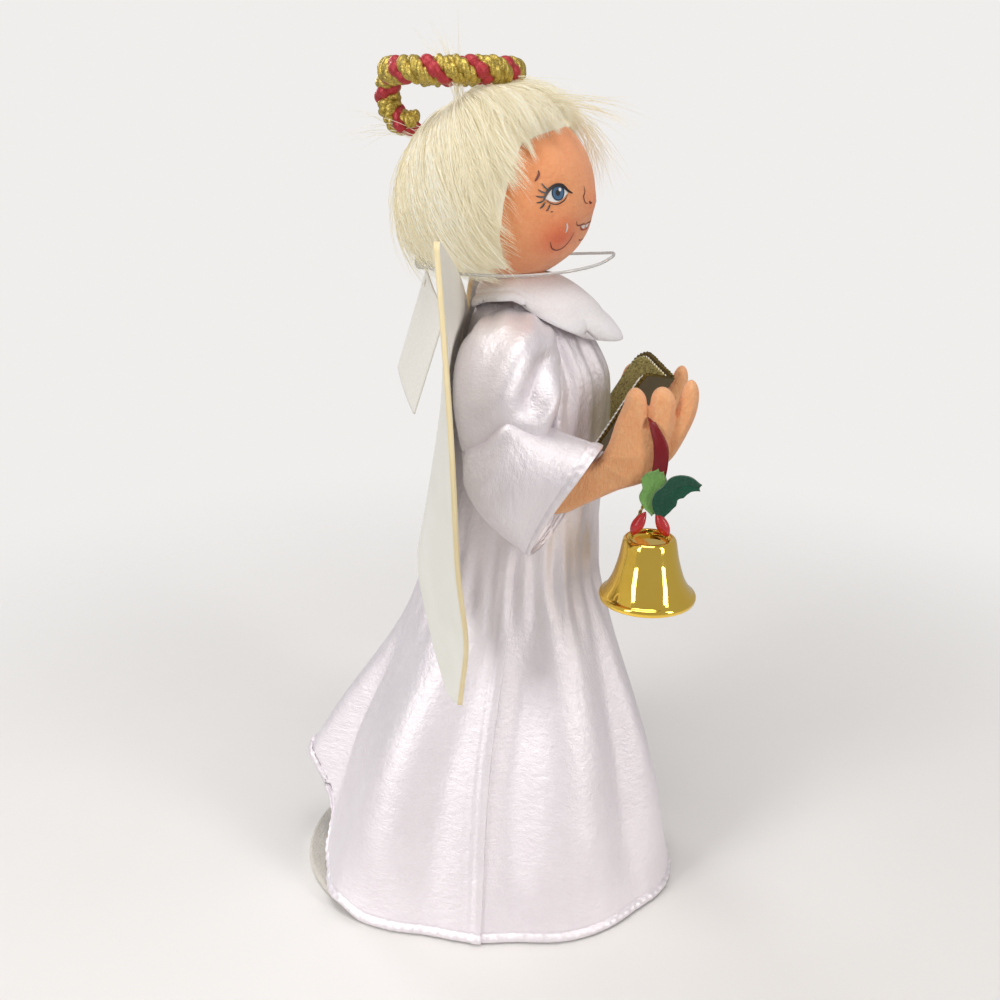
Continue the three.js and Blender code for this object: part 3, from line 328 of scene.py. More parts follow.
def felt(name, light, dark, fibre=0.0004):
    """Pressed wool: a colour that is mottled softly, fine crossed fibres that stand up, and a dull bloom."""
    finish = Finish(name, Roughness=0.94, Sheen_Weight=0.35, Sheen_Roughness=0.5, Specular_IOR_Level=0.2)
    where = finish.place()
    hairs = finish.noise(where, 1500, 5, 0.75, (1, 1, 0.35))
    crossed = finish.noise(where, 1100, 4, 0.7, (0.35, 1, 1))
    finish.tint(finish.noise(where, 160) * 0.4 + hairs * 1.1 + crossed * 0.7 - 0.6, dark, light)
    finish.bump(hairs + crossed, fibre)
    return finish


def place_piece(mesh, body, slot, *nodes):
    """The object for a mesh, riding on its body and standing for its CAD nodes."""
    piece = add_object(mesh.name, mesh)
    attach(piece, body)
    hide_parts(*nodes)
    return piece


def add_piece(name, shape, finishes, body, slot, *nodes, **details):
    return place_piece(make_mesh(name, shape, finishes, **details), body, slot, *nodes)


base_felt = felt("base_felt", (236, 231, 222), (205, 198, 188))
rim = BASE_THICKNESS / 2
bend = np.linspace(-np.pi / 2, np.pi / 2, 12)
flat = np.linspace(2, BASE_RADIUS - rim, 10)
rounded = np.c_[BASE_RADIUS - rim + rim * np.cos(bend), rim + rim * np.sin(bend)]
base_profile = np.concatenate([np.c_[flat, 0 * flat], rounded, np.c_[flat[::-1], 0 * flat + BASE_THICKNESS]])
base_shape = capped(lathe(base_profile, BASE_SIDES, (BASE_X, BASE_Y, 0)))
add_piece("base_cover", base_shape, [base_felt], "body", "white_felt", "base_board")

# Legs. Stuffed tubes of white felt, each sewn to a foot that is flat below, on a wire that runs from the
# base up into the torso.
LEG_SPREAD, LEG_Y, LEG_TOP, LEG_SAMPLES, LEG_SIDES, FOOT_LIFT = 9, -6, 100, 90, 32, 0.3
LEG_LINE = [(-23, 7), (-20, 7), (-14, 8), (-7.5, 10), (LEG_Y, 18), (LEG_Y, 55), (LEG_Y, 90), (LEG_Y, LEG_TOP)]
LEG_SIZES = [(0, 0.4), (0.015, 3), (0.05, 5.4), (0.12, 6), (0.2, 5.2), (0.5, 6.2), (0.9, 7.5), (0.97, 6.4), (1, 3)]


def unit(vectors, least=0.0):
    """Vectors at length 1. A least length keeps those without one from dividing by 0."""
    return vectors / (np.linalg.norm(vectors, axis=-1, keepdims=True) + least)


def carried_frames(path):
    """Directions along and across a path. The cross directions are carried from one sample to the next with
    no twist: each is the last one, less its part along the new direction."""
    along = unit(np.gradient(path, axis=0))
    side = np.empty_like(path)
    last = np.cross(along[0], (0.3, 0.2, 0.93))
    for n, direction in enumerate(along):
        last = unit(last - direction * (last @ direction))
        side[n] = last
    return side, np.cross(along, side)


def hose(path, radius, sides):
    """Rings round a path, of a radius given for each sample or for each sample and side."""
    side, over = carried_frames(path)
    around = full_turn(sides)
    radius = np.broadcast_to(np.asarray(radius, float).reshape(len(path), -1), (len(path), sides))
    spokes = side[:, None] * np.cos(around)[:, None] + over[:, None] * np.sin(around)[:, None]
    return path[:, None] + spokes * radius[..., None]


def radius_along(stops, count):
    """A radius read from pairs of place and size by straight spans between them."""
    place, size = np.asarray(stops, float).T
    return np.interp(np.linspace(0, 1, count), place, size)


white_felt = felt("white_felt", (240, 237, 240), (214, 210, 214))
leg_line = smooth_path([(0, y, z) for y, z in LEG_LINE], LEG_SAMPLES)
for side, name in [(-1, "right"), (1, "left")]:
    leg_rings = hose(leg_line + (side * LEG_SPREAD, 0, 0), radius_along(LEG_SIZES, LEG_SAMPLES), LEG_SIDES)
    leg_points, leg_faces = capped(leg_rings)
    leg_points[:, 2] = np.maximum(leg_points[:, 2], BASE_THICKNESS + FOOT_LIFT)
    leg_shape = (leg_points, leg_faces)
    leg = add_piece(f"stuffed_leg_{name}", leg_shape, [white_felt], "body", "white_felt", f"leg_{name}")

# Wires. Soft drawn steel, bent by hand, in the legs, the neck, across the shoulders and in both arms. Each
# keeps its CAD shape.
wire_steel = Finish("drawn_steel", Base_Color=colour(150, 150, 148), Metallic=1.0)
wire_marks = wire_steel.noise(wire_steel.place(), 3000, stretch=(1, 1, 0.05))
wire_steel.set(Roughness=wire_marks * 0.25 + 0.25)
wire_steel.bump(wire_marks, 0.00003)
for name in ("leg_wire_right", "leg_wire_left", "neck_wire", "shoulder_wire", "arm_wire_right", "arm_wire_left"):
    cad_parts[name].data.materials.clear()
    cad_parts[name].data.materials.append(wire_steel.owner)

# Torso and neck. A stuffed bag of white felt, and on it a short stuffed stem of skin felt that carries the
# head.
NECK_Y, NECK_TOP, NECK_RADIUS = -8, 187, 7.2
TORSO_TOP, TORSO_ROWS, TORSO_SIDES = 174, 60, 48
# level, half width and half depth
TORSO_LEVELS = np.array([
    (100.4, 12.5, 10.2), (102, 14.6, 12), (107, 16.3, 12.8), (128.6, 13, 11.4), (150, 15, 12.6),
    (157, 15.4, 12.9), (166, 14.2, 12.6), (171, 12, 10.8), (TORSO_TOP, 9.2, 8.2),
])
# radius and level
NECK_PROFILE = [
    (6.4, TORSO_TOP + 0.3), (NECK_RADIUS, TORSO_TOP + 1.4), (NECK_RADIUS - 0.3, 180.5), (NECK_RADIUS, 186),
    (6.6, NECK_TOP),
]
torso_z = np.linspace(TORSO_LEVELS[0, 0], TORSO_TOP, TORSO_ROWS)
torso_wide, torso_deep = [np.interp(torso_z, TORSO_LEVELS[:, 0], TORSO_LEVELS[:, k]) for k in (1, 2)]
around = full_turn(TORSO_SIDES)
torso_x, torso_y = np.outer(torso_wide, np.cos(around)), np.outer(torso_deep, np.sin(around)) + NECK_Y
torso_shape = capped(np.stack([torso_x, torso_y, np.outer(torso_z, np.ones(TORSO_SIDES))], -1))
torso = add_piece("stuffed_torso", torso_shape, [white_felt], "body", "white_felt", "torso")

skin_felt = felt("skin_felt", (255, 204, 150), (250, 160, 103), 0.0005)
neck_shape = capped(lathe(NECK_PROFILE, TORSO_SIDES, (0, NECK_Y, 0)))
neck = add_piece("stuffed_neck", neck_shape, [skin_felt], "body", "skin_felt", "neck")

# Gown. Two panels of white satin with a crushed sheen, sewn at the sides with the back panel lapped over the
# front. It is gathered in at the waist, flares to a rolled and stitched hem, and is caught up behind.
HEM_LEVEL, KNEE_LEVEL, NECKLINE, GOWN_LENGTH = 0.8, 48, 180.6, 180
# level, and how far the gown reaches forward, back and to each side
GOWN_LEVELS = np.array([
    (HEM_LEVEL, 57.4, 57, 43.5), (KNEE_LEVEL, 47.5, 44.6, 35), (88, 35.5, 24.5, 24.5), (106, 31.6, 18, 21),
    (157, 32.5, 7.6, 19), (170, 27, 5.8, 18), (177, 21.8, 3.5, 14.6), (181, 16.9, 0.9, 8.9),
])
HEM_LIFT, HEM_LIFT_ANGLE, HEM_LIFT_SPREAD, HEM_FLICK, FLICK_TOP = 34, 177, 17, 8, 84
# the hem's own band, and the share of the rows and the thickness that it takes up
HEM_BAND, HEM_SHARE, HEM_EXTRA = 4, 0.16, 0.7
PAST_RIM, LEAST_LEVEL = 2, 0.25
SATIN, SEAM_LAP, SEAM_TUCK, LAP_HEIGHT, LAP_TURN = 0.5, 2.2, 0.2, 0.72, 0.22
SHOULDER_Y, SHOULDER_Z, ARMHOLE = -9, 163, 7
FOLD_SWAY, SWAY_LENGTH, FOLD_FADE, FADE_LEVEL = 2.5, 23, 0.72, 34
GOWN_ROWS, GOWN_COLUMNS, GOWN_CLOTH_WIDTH = 104, 300, 0.16
# each fold's angle from the front, its spread, how far it stands out and the level where it starts
GOWN_FOLDS = [
    (16, 11, -2.2, 120), (40, 13, 3.4, 110), (61, 8, -3.2, 122), (80, 9, 1.8, 104),
    (108, 13, 3.2, 112), (130, 9, -3.0, 106), (153, 11, 3.0, 102), (178, 8, 2.0, 90),
    (194, 7, -6.0, 100), (212, 13, -2.6, 104), (239, 15, 4.0, 116), (258, 9, -2.6, 112),
    (283, 9, -4.2, 132), (303, 15, 4.0, 116), (328, 9, -2.8, 120), (343, 10, 2.4, 110),
]


def at_level(levels, z, column):
    """A column of a table of levels, read by cubic spans through its rows, whose slopes are those between each
    row's neighbours."""
    heights, values = levels[:, 0], levels[:, column]
    low = np.clip(np.arange(len(heights)) - 1, 0, None)
    high = np.clip(np.arange(len(heights)) + 1, None, len(heights) - 1)
    slope = (values[high] - values[low]) / (heights[high] - heights[low])
    k = np.clip(np.searchsorted(heights, z) - 1, 0, len(heights) - 2)
    span = heights[k + 1] - heights[k]
    t = np.clip((z - heights[k]) / span, 0, 1)
    return (
        (2 * t**3 - 3 * t**2 + 1) * values[k]
        + (t**3 - 2 * t**2 + t) * span * slope[k]
        + (3 * t**2 - 2 * t**3) * values[k + 1]
        + (t**3 - t**2) * span * slope[k + 1]
    )


def eased(value, low, high):
    """0 below low, 1 above high, and a smooth step between."""
    t = np.clip((value - low) / (high - low), 0, 1)
    return t * t * (3 - 2 * t)


def bell_curve(value, middle, spread):
    return np.exp(-(((value - middle) / spread) ** 2))


def normals_of(grid):
    """The unit normal at each point of a grid, across its rows and columns."""
    return unit(np.cross(np.gradient(grid, axis=1), np.gradient(grid, axis=0)))


def gown_folds(degrees, height):
    """How far the folds stand out: each is a bell curve of the angle that opens from the level where it starts
    down to the knee, sways a little on its way, and flattens towards the hem."""
    depth = 0 * (degrees + height)
    for middle, spread, size, start in GOWN_FOLDS:
        away = (degrees - middle + FOLD_SWAY * np.sin(height / SWAY_LENGTH + middle) + 180) % 360 - 180
        grows = eased(-height, -start, -KNEE_LEVEL) * (1 - FOLD_FADE * eased(-height, -FADE_LEVEL, -HEM_LEVEL))
        depth = depth + size * bell_curve(away, 0, spread) * grows
    return depth


def gown_surface(angle, height):
    """A point at an angle from the front and a height. The reach forward, back and to the side at that height
    make an oval, and the folds stand out from it. Small pleats hang from the collar in front, and gathers
    cross the waist."""
    front, back, side_reach = [at_level(GOWN_LEVELS, height, k) for k in (1, 2, 3)]
    out = gown_folds(np.degrees(angle), height)
    pleat = eased(height, 104, 140) * (1 - eased(height, 166, 178)) * np.clip(np.cos(angle), 0, 1) ** 0.4
    out = out + pleat * (0.85 * np.cos(14 * angle + 0.02 * height + 0.7) + 0.4 * np.cos(23 * angle - 0.03 * height))
    gather = bell_curve(height, 103, 15)
    out = out + gather * (0.5 * np.cos(27 * angle + 0.05 * height) + 0.4 * np.sin(16 * angle - 0.09 * height))
    x = (side_reach + out) * np.sin(angle)
    y = (back - front) / 2 - ((front + back) / 2 + out) * np.cos(angle)
    return np.stack([x, y, height], -1)


def hem_rise(degrees):
    """How far the hem stands above its level: it lies on the base from the left side round the back, hangs past
    the rim on the right, and is caught up behind."""
    on_base = eased(degrees, 78, 96) * (1 - eased(degrees, 224, 236))
    caught_up = bell_curve(degrees, HEM_LIFT_ANGLE, HEM_LIFT_SPREAD)
    return on_base * (BASE_THICKNESS + 0.5) + HEM_LIFT * caught_up


def hem_roll(distance, run):
    """How far a rolled hem stands out at a distance from the edge: a round bead, then the groove that its line
    of stitches pulls in, both puckered along the run."""
    pucker = 1 + 0.35 * np.cos(2 * np.pi * run / 2.7) + 0.2 * np.cos(2 * np.pi * run / 6.1 + 1)
    return pucker * (0.5 * bell_curve(distance, 1.1, 0.9) - 0.38 * bell_curve(distance, 2.6, 0.45))


def sheet_of(grid, thickness, keep=None):
    """A sheet of a thickness under a grid of points: the grid, the grid moved in along its normals, and a strip
    along every edge of the cells that are kept."""
    rows, columns = grid.shape[:2]
    inner = grid - normals_of(grid) * np.asarray(thickness)[..., None]
    quads = grid_faces(rows, columns)
    if keep is not None:
        quads = quads[keep.ravel()]
    edges = np.concatenate([quads[:, [k, (k + 1) % 4]] for k in range(4)])
    _, first, count = np.unique(np.sort(edges, 1), axis=0, return_index=True, return_counts=True)
    a, b = edges[first[count == 1]].T
    total = rows * columns
    points = np.concatenate([grid.reshape(-1, 3), inner.reshape(-1, 3)])
    return points, [quads, quads[:, ::-1] + total, np.stack([b, a, a + total, b + total], -1)]


def used_only(points, faces, *columns):
    """The shape without the points that no face uses, and the same cut for any columns of values."""
    used = np.unique(np.concatenate([array.ravel() for array in faces]))
    new = np.zeros(len(points), int)
    new[used] = np.arange(len(used))
    return (points[used], [new[array] for array in faces]), *[column[used] for column in columns]


satin = Finish("crushed_satin", Metallic=0.62, Sheen_Weight=0.25, Sheen_Roughness=0.4, Specular_IOR_Level=0.7)
cloth_at = satin.cloth_place()
crush = satin.noise(cloth_at, 150, 4, 0.6, (1, 0.55, 1))
crinkle = satin.noise(cloth_at, 520, 4, 0.75, (0.6, 1, 1))
weave = satin.noise(cloth_at, 5200, 2, stretch=(1, 0.12, 1))
patch = satin.noise(satin.place(), 26)
satin.tint(crush * 0.5 + patch * 0.5, (228, 220, 226), (250, 246, 250))
satin.set(Roughness=crinkle * 0.3 + patch * 0.2 + 0.27)
satin.bump(crush * 0.45 + crinkle * 0.4 + weave * 0.05, 0.0011, 0.8)


def gown_panel(name, node, start, end, lap):
    """One panel between two angles in degrees, with rows crowded towards the hem. A lapped edge stands proud of
    the seam, the caught-up hem flicks out, the hem on the right is led past the base's rim, and the armholes
    are left open."""
    down, across = np.linspace(0, 1, GOWN_ROWS), np.linspace(0, 1, GOWN_COLUMNS)[None]
    above_band = HEM_BAND + (down - HEM_SHARE) / (1 - HEM_SHARE) * (GOWN_LENGTH - HEM_BAND)
    height = np.where(down < HEM_SHARE, down / HEM_SHARE * HEM_BAND, above_band) + HEM_LEVEL
    height = np.clip(height, HEM_LEVEL, NECKLINE)[:, None]
    half_depth = (at_level(GOWN_LEVELS, height, 1) + at_level(GOWN_LEVELS, height, 2)) / 2
    overlap = np.degrees(lap / half_depth)
    degrees = (start - overlap) * (1 - across) + (end + overlap) * across
    low = np.clip((KNEE_LEVEL - height) / (KNEE_LEVEL - HEM_LEVEL), 0, 1)
    raised = height + hem_rise(degrees) * low**2
    grid = gown_surface(np.radians(degrees), raised)
    flick = np.clip((FLICK_TOP - raised) / (FLICK_TOP - HEM_LIFT), 0, 1) ** 2
    grid[..., 1] += HEM_FLICK * bell_curve(degrees, HEM_LIFT_ANGLE + 2, 12) * flick
    from_base = grid[:1, :, :2] - (BASE_X, BASE_Y)
    reach = np.linalg.norm(from_base, axis=-1)
    past_rim = np.clip(BASE_RADIUS + PAST_RIM - reach, 0, None) * eased(degrees[:1], 206, 224) / reach
    grid[..., :2] += from_base * (past_rim * low**2)[..., None]
    out = hem_roll(height - HEM_LEVEL, run_along(grid[0])[None])
    thickness = SATIN + HEM_EXTRA * (1 - eased(height - HEM_LEVEL, 1.6, 2.6)) + 0 * degrees
    if lap > 0:
        from_edge = np.minimum(degrees - degrees[:, :1], degrees[:, -1:] - degrees) * np.pi / 180 * half_depth
        out = out + LAP_HEIGHT * (1 - eased(from_edge, 1.6, 6)) - 0.3 * bell_curve(from_edge, 3.2, 0.7)
        thickness = thickness + LAP_TURN * (1 - eased(from_edge, 0.6, 1.8))
    grid = grid + normals_of(grid) * out[..., None]
    grid[..., 2] = np.maximum(grid[..., 2], LEAST_LEVEL)
    middle = (grid[1:, 1:] + grid[:-1, :-1]) / 2
    hole = (middle[..., 1] - SHOULDER_Y) ** 2 + (middle[..., 2] - SHOULDER_Z) ** 2 < ARMHOLE**2
    along = np.stack(np.broadcast_arrays(across * GOWN_CLOTH_WIDTH, raised * MM), -1).reshape(-1, 2)
    shape, along = used_only(*sheet_of(grid, thickness, ~hole), np.tile(along, (2, 1)))
    return add_piece(name, shape, [satin], "body", "white_satin", node, cloth=along)


gown_front = gown_panel("gown_front_panel", "gown_front", -90, 90, -SEAM_TUCK)
gown_back = gown_panel("gown_back_panel", "gown_back", 90, 270, SEAM_LAP)

# Arms. Stuffed tubes of skin felt on a wire, each ending in a flat hand cut and sewn in one with the forearm,
# with a thumb and two fingers held upright.
# out, forward and up from the shoulder
ARM_POINTS = [
    (17.6, 0, 0), (23.4, 0, -0.6), (28.6, -0.8, -4.8), (30.6, -1.6, -12), (30.4, -0.6, -20), (29.4, 5, -26),
    (28, 11, -28),
]
ARM_SIZES = [(0, 4.2), (0.06, 4.7), (0.7, 4.9), (1, 4.4)]
ARM_SAMPLES, ARM_SIDES, OUTLINE_SAMPLES, ARM_VOXEL, ARM_SMOOTHING = 60, 24, 220, 0.4, 6
# how far each layer of a hand is drawn in from its outline, and half its thickness
HAND_LAYERS = [(0, 1.4), (0.6, 2.4), (1.2, 3.1)]
# how far out the middle of the forearm and hand lies at each distance forward of the shoulder
HAND_OUT = np.array([(0, 30), (8, 28.6), (18.5, 25.2), (28, 21.5), (50, 21.5)])
# forward and up from the shoulder
HAND_OUTLINE = [
    (2, -31), (7, -34.2), (13.7, -34.8), (19.2, -32.8), (27.4, -29.7), (32.8, -27.9), (36.3, -26.2), (38.2, -23.6),
    (39.6, -18.4), (40.8, -12.6), (41.4, -6.4), (40.4, -3.6), (38.7, -2.2), (37.1, -2.2), (35.7, -3.4), (35, -5.8),
    (34.6, -12.6), (34.1, -6), (33.2, -3.8), (31.8, -2.6), (30.2, -2.7), (28.9, -4.4), (28.1, -7.3), (26.4, -11.6),
    (24.8, -17), (22.9, -20.2), (20, -21.8), (10, -22.6), (3, -24),
]
FINGER_OUTLINE = [
    (36, -26), (38.8, -24), (41.9, -20.6), (45.2, -13.9), (46.9, -8.8), (47.3, -4.2), (46.4, -1.4), (45, -0.6),
    (43.4, -2.2), (41.8, -8), (39.6, -14), (36, -20),
]
FINGER_BEHIND, FINGER_THINNER = 2.6, 0.4
LEFT_ARM_DROP = math.radians(6)


def turned(a, b, angle):
    """The parts along two axes of a point turned by an angle from the first axis towards the second."""
    c, s = math.cos(angle), math.sin(angle)
    return a * c - b * s, a * s + b * c


def on_arm(points, name):
    """Points given as out, forward and up from the shoulder, set on the right or the left arm. The left one is
    mirrored and turned down about the line through both shoulders."""
    out, forward, up = np.moveaxis(np.asarray(points, float), -1, 0)
    drop, side = (0, -1) if name == "right" else (LEFT_ARM_DROP, 1)
    y, z = turned(-forward, up, drop)
    return np.stack([side * out, y + SHOULDER_Y, z + SHOULDER_Z], -1)


def closed_line(points, count):
    """A smooth closed line through points in a plane, by cubic spans."""
    wrapped = np.concatenate([points[-3:], points, points[:3]])
    at = np.linspace(3, len(points) + 3, count, endpoint=False)
    k = at.astype(int)
    return cubic(wrapped[k - 1], wrapped[k], wrapped[k + 1], wrapped[k + 2], (at % 1)[:, None])


def slab(outline, behind, inset, half):
    """A flat form with an outline drawn in by an inset, half as thick on each side of a middle that lies some
    way behind the hand's."""
    line = closed_line(np.asarray(outline, float), OUTLINE_SAMPLES)
    along = unit(np.roll(line, -1, 0) - np.roll(line, 1, 0))
    line = line + np.stack([-along[:, 1], along[:, 0]], -1) * inset
    out = np.interp(line[:, 0], *HAND_OUT.T) - behind
    sides = [np.stack([out + depth, line[:, 0], line[:, 1]], -1) for depth in (-half, half)]
    ring = np.arange(len(line))
    return np.concatenate(sides), [grid_faces(2, len(line), True), ring[None, ::-1], ring[None] + len(line)]


def joined(*shapes):
    """Several shapes of points and a list of face arrays as one."""
    points, faces, start = [], [], 0
    for some_points, some_faces in shapes:
        points.append(some_points)
        faces += [array + start for array in some_faces]
        start += len(some_points)
    return np.concatenate(points), faces


def melted(name, shape, voxel, smooth_steps, finish):
    """One skin over several closed forms: a voxel remesh, then a few rounds of smoothing."""
    mesh = make_mesh(name, shape, [finish])
    lump = add_object(name, mesh)
    skin = lump.modifiers.new("skin", "REMESH")
    skin.mode, skin.voxel_size = "VOXEL", voxel * MM
    ease = lump.modifiers.new("ease", "SMOOTH")
    ease.factor, ease.iterations = 0.5, smooth_steps
    done = bpy.data.meshes.new_from_object(lump.evaluated_get(bpy.context.evaluated_depsgraph_get()))
    bpy.data.objects.remove(lump)
    bpy.data.meshes.remove(mesh)
    done.name = name
    done.materials.clear()
    done.materials.append(finish.owner)
    done.polygons.foreach_set("use_smooth", np.ones(len(done.polygons), bool))
    return done


arm_forms = [capped(hose(smooth_path(ARM_POINTS, ARM_SAMPLES), radius_along(ARM_SIZES, ARM_SAMPLES), ARM_SIDES))]
for inset, half in HAND_LAYERS:
    arm_forms.append(slab(HAND_OUTLINE, 0, inset, half))
    arm_forms.append(slab(FINGER_OUTLINE, FINGER_BEHIND, inset, half - FINGER_THINNER))
arm_points, arm_faces = joined(*arm_forms)
for name in ("right", "left"):
    shape = (on_arm(arm_points, name), arm_faces)
    arm_mesh = melted(f"felt_arm_{name}", shape, ARM_VOXEL, ARM_SMOOTHING, skin_felt)
    arm = place_piece(arm_mesh, f"arm_{name}", "skin_felt", f"arm_{name}")

# Sleeves. Wide tubes of the gown's satin, set into the armholes. The cloth laps over itself at the elbow, where
# the lower part stands out round the upper one, and ends in a broad cuff with a stitched hem.
UPPER_LINE = [
    (15, -0.8, 3.6), (20, -0.8, 3.2), (25.2, -0.8, 0.4), (29, -0.6, -5), (30.2, -1.2, -12), (30.2, -2.4, -17),
    (30, -3.2, -21),
]
# share of the length, half size forward and half size out
UPPER_SIZES = np.array([
    (0, 11.6, 12.4), (0.18, 12.6, 11.2), (0.4, 12.6, 8.6), (0.6, 12, 6.8), (0.8, 10.6, 5), (1, 8, 3.6),
])
# share of the length, forward and up at the top edge, forward and up at the bottom edge, how far out, half width
LOWER_SLEEVE = np.array([
    (0, -12.2, -18, -11.6, -22.5, 30, 2),
    (0.08, -10.6, -16.4, -11.3, -27, 30, 6.4),
    (0.25, -6, -13.6, -7.6, -34, 29.8, 9.4),
    (0.42, -0.4, -8.2, -3, -39.4, 29.4, 10.2),
    (0.6, 6, -11, 1, -42.8, 28.8, 9.8),
    (0.8, 14.6, -14, 3.6, -45.4, 27.6, 9.2),
    (1, 23.3, -16.8, 6, -47.2, 26.2, 8.8),
])
CUFF_LENGTH, CUFF_EXTRA, CUFF_ROLL = 36, 0.5, 0.5
SLEEVE_CLOTH = (0.011, 0.033)
SLEEVE_ROWS, CUFF_ROWS, SLEEVE_SIDES = 70, 24, 180
sleeve_around = full_turn(SLEEVE_SIDES)


def upper_sleeve(share):
    """The upper part at shares of its length: ovals across its line, from the shoulder down into the elbow. One
    slanting fold runs from the front of the shoulder to the back of the elbow, with a hollow before it."""
    line = smooth_path(UPPER_LINE, len(share))
    forward = np.array([0.0, 1, 0])
    outward = unit(np.cross(unit(np.gradient(line, axis=0)), forward))
    t, phi = share[:, None], sleeve_around[None]
    ridge = np.radians(48 + 92 * t)
    grows = eased(t, 0.12, 0.34) * (1 - eased(t, 0.5, 0.68))
    out = grows * (2 * bell_curve(phi, ridge, 0.32) - 3.8 * bell_curve(phi, ridge - 0.8, 0.36))
    out = out + 0.8 * grows * bell_curve(phi, ridge - 1.6, 0.4) + bell_curve(t, 0.1, 0.1) * 0.3 * np.cos(11 * phi)
    fuller_behind = np.where(np.cos(phi) < 0, 1 + 0.13 * np.sin(np.pi * t), 1)
    forward_half = at_level(UPPER_SIZES, t, 1) * fuller_behind + out
    out_half = at_level(UPPER_SIZES, t, 2) + out
    flat = np.sign(np.sin(phi)) * np.abs(np.sin(phi)) ** 0.78
    points = line[:, None] + forward * (forward_half * np.cos(phi))[..., None]
    points = points + outward[:, None] * (out_half * flat)[..., None]
    points[..., 0] -= 3 * np.sin(phi) * (1 - eased(t, 0, 0.22))
    return points


def lower_sleeve(share):
    """The lower part at shares of its length: from a top edge to a bottom edge with a half width each side. Its
    sides stay flat up to a crisp fold near the elbow and grow round towards the cuff."""
    t, phi = share[:, None], sleeve_around[None]
    top_forward, top_up, low_forward, low_up, out, half = [at_level(LOWER_SLEEVE, t, k) for k in range(1, 7)]
    height, side = np.cos(phi), np.sin(phi)
    square = 0.34 + 0.5 * eased(t, 0.55, 0.92)
    bulge = np.sign(side) * np.abs(side) ** np.where(height > 0, square, 0.8)
    crease = 0.5 * bell_curve(t, 0.34, 0.14) * np.cos(7 * phi + 8 * t)
    crease = crease + eased(t, 0.4, 1) * 0.55 * np.cos(4 * phi + 3 * t)
    skew = -2.6 * side * (1 - 0.4 * height) * eased(t, 0.45, 1)
    forward = (top_forward + low_forward) / 2 + (top_forward - low_forward) / 2 * height + skew
    up = (top_up + low_up) / 2 + (top_up - low_up) / 2 * height
    return np.stack([out + (half + crease) * bulge, forward, up], -1)


def ring_normals(rings):
    """The unit normals of rings of points that close round."""
    return normals_of(np.concatenate([rings[:, -1:], rings, rings[:, :1]], 1))[:, 1:-1]


def cloth_tube(rings, thickness, hem):
    """A tube of cloth with an outer and an inner face, joined round both ends. A hem stands out from it."""
    normal = ring_normals(rings)
    normal *= np.sign(np.sum(normal * (rings - rings.mean(1, keepdims=True))))
    rings = rings + normal * np.asarray(hem)[..., None]
    inner = rings - normal * np.broadcast_to(thickness, rings.shape[:2])[..., None]
    rows, sides = rings.shape[:2]
    return np.concatenate([rings, inner[::-1]]).reshape(-1, 3), [grid_faces(2 * rows, sides, True, True)]


upper_share = np.linspace(0, 1, SLEEVE_ROWS)
lower_share = np.concatenate([np.linspace(0, 0.9, SLEEVE_ROWS), np.linspace(0.905, 1, CUFF_ROWS)])
lower_rings = lower_sleeve(lower_share)
from_cuff = CUFF_LENGTH * (1 - lower_share)[:, None]
cuff_thickness = SATIN + CUFF_EXTRA * (1 - eased(from_cuff, 1.6, 2.6))
cuff_hem = CUFF_ROLL * hem_roll(from_cuff, run_along(lower_rings[-1])[None])
sleeve_points, sleeve_faces = joined(
    cloth_tube(upper_sleeve(upper_share), SATIN, 0.0), cloth_tube(lower_rings, cuff_thickness, cuff_hem)
)
lengths = np.concatenate([upper_share, upper_share[::-1], 1 + lower_share, 1 + lower_share[::-1]])[:, None]
sleeve_map = np.broadcast_arrays(sleeve_around[None] * SLEEVE_CLOTH[0], lengths * SLEEVE_CLOTH[1])
sleeve_cloth = np.stack(sleeve_map, -1).reshape(-1, 2)
for name in ("right", "left"):
    shape = (on_arm(sleeve_points, name), sleeve_faces)
    rides, stands_for = f"arm_{name}", f"sleeve_{name}"
    sleeve = add_piece(f"satin_{stands_for}", shape, [satin], rides, "white_satin", stands_for, cloth=sleeve_cloth)

# Collar. A round collar of two layers of white felt turned out like a cushion, with scalloped lobes, sewn on
# at the neckline. It stands off the shoulders and droops in front and behind.
COLLAR_TOP, COLLAR_INSIDE, COLLAR_HALF, COLLAR_SIDES = 185.2, 7.9, 0.95, 360
COLLAR_FRONT, COLLAR_SIDE, COLLAR_BACK, SCALLOP_DEPTH = 28.4, 16.4, 12, 5.6
FIRST_NOTCH, LOBE_ANGLE = math.radians(31), math.radians(46)


def collar_surface(share, angle):
    """The middle of the collar's thickness at a share of its width and an angle from the front. It leaves the
    neck level, droops faster towards its edge, most in front and least at the sides, and its edge bulges
    between notches."""
    forward = np.cos(angle)
    end = np.where(forward > 0, COLLAR_FRONT, COLLAR_BACK)
    reach = np.hypot(end * forward, COLLAR_SIDE * np.sin(angle))
    from_front = np.abs((angle + np.pi) % (2 * np.pi) - np.pi)
    in_front, beside = (from_front + FIRST_NOTCH) / 2 / FIRST_NOTCH, (from_front - FIRST_NOTCH) / LOBE_ANGLE
    lobe = np.abs(np.sin(np.pi * np.where(from_front < FIRST_NOTCH, in_front, beside))) ** 0.9
    cut = SCALLOP_DEPTH * (0.3 + 0.7 * np.clip(forward, 0, 1)) * (1 - lobe)
    radius = COLLAR_INSIDE + (reach - COLLAR_INSIDE) * share - cut * share**6
    drop = 4 + 12.2 * np.clip(forward, 0, 1) ** 1.15 + 4.5 * np.clip(-forward, 0, 1) ** 2
    return np.stack([radius * np.sin(angle), NECK_Y - radius * forward, COLLAR_TOP - drop * share**1.6], -1)


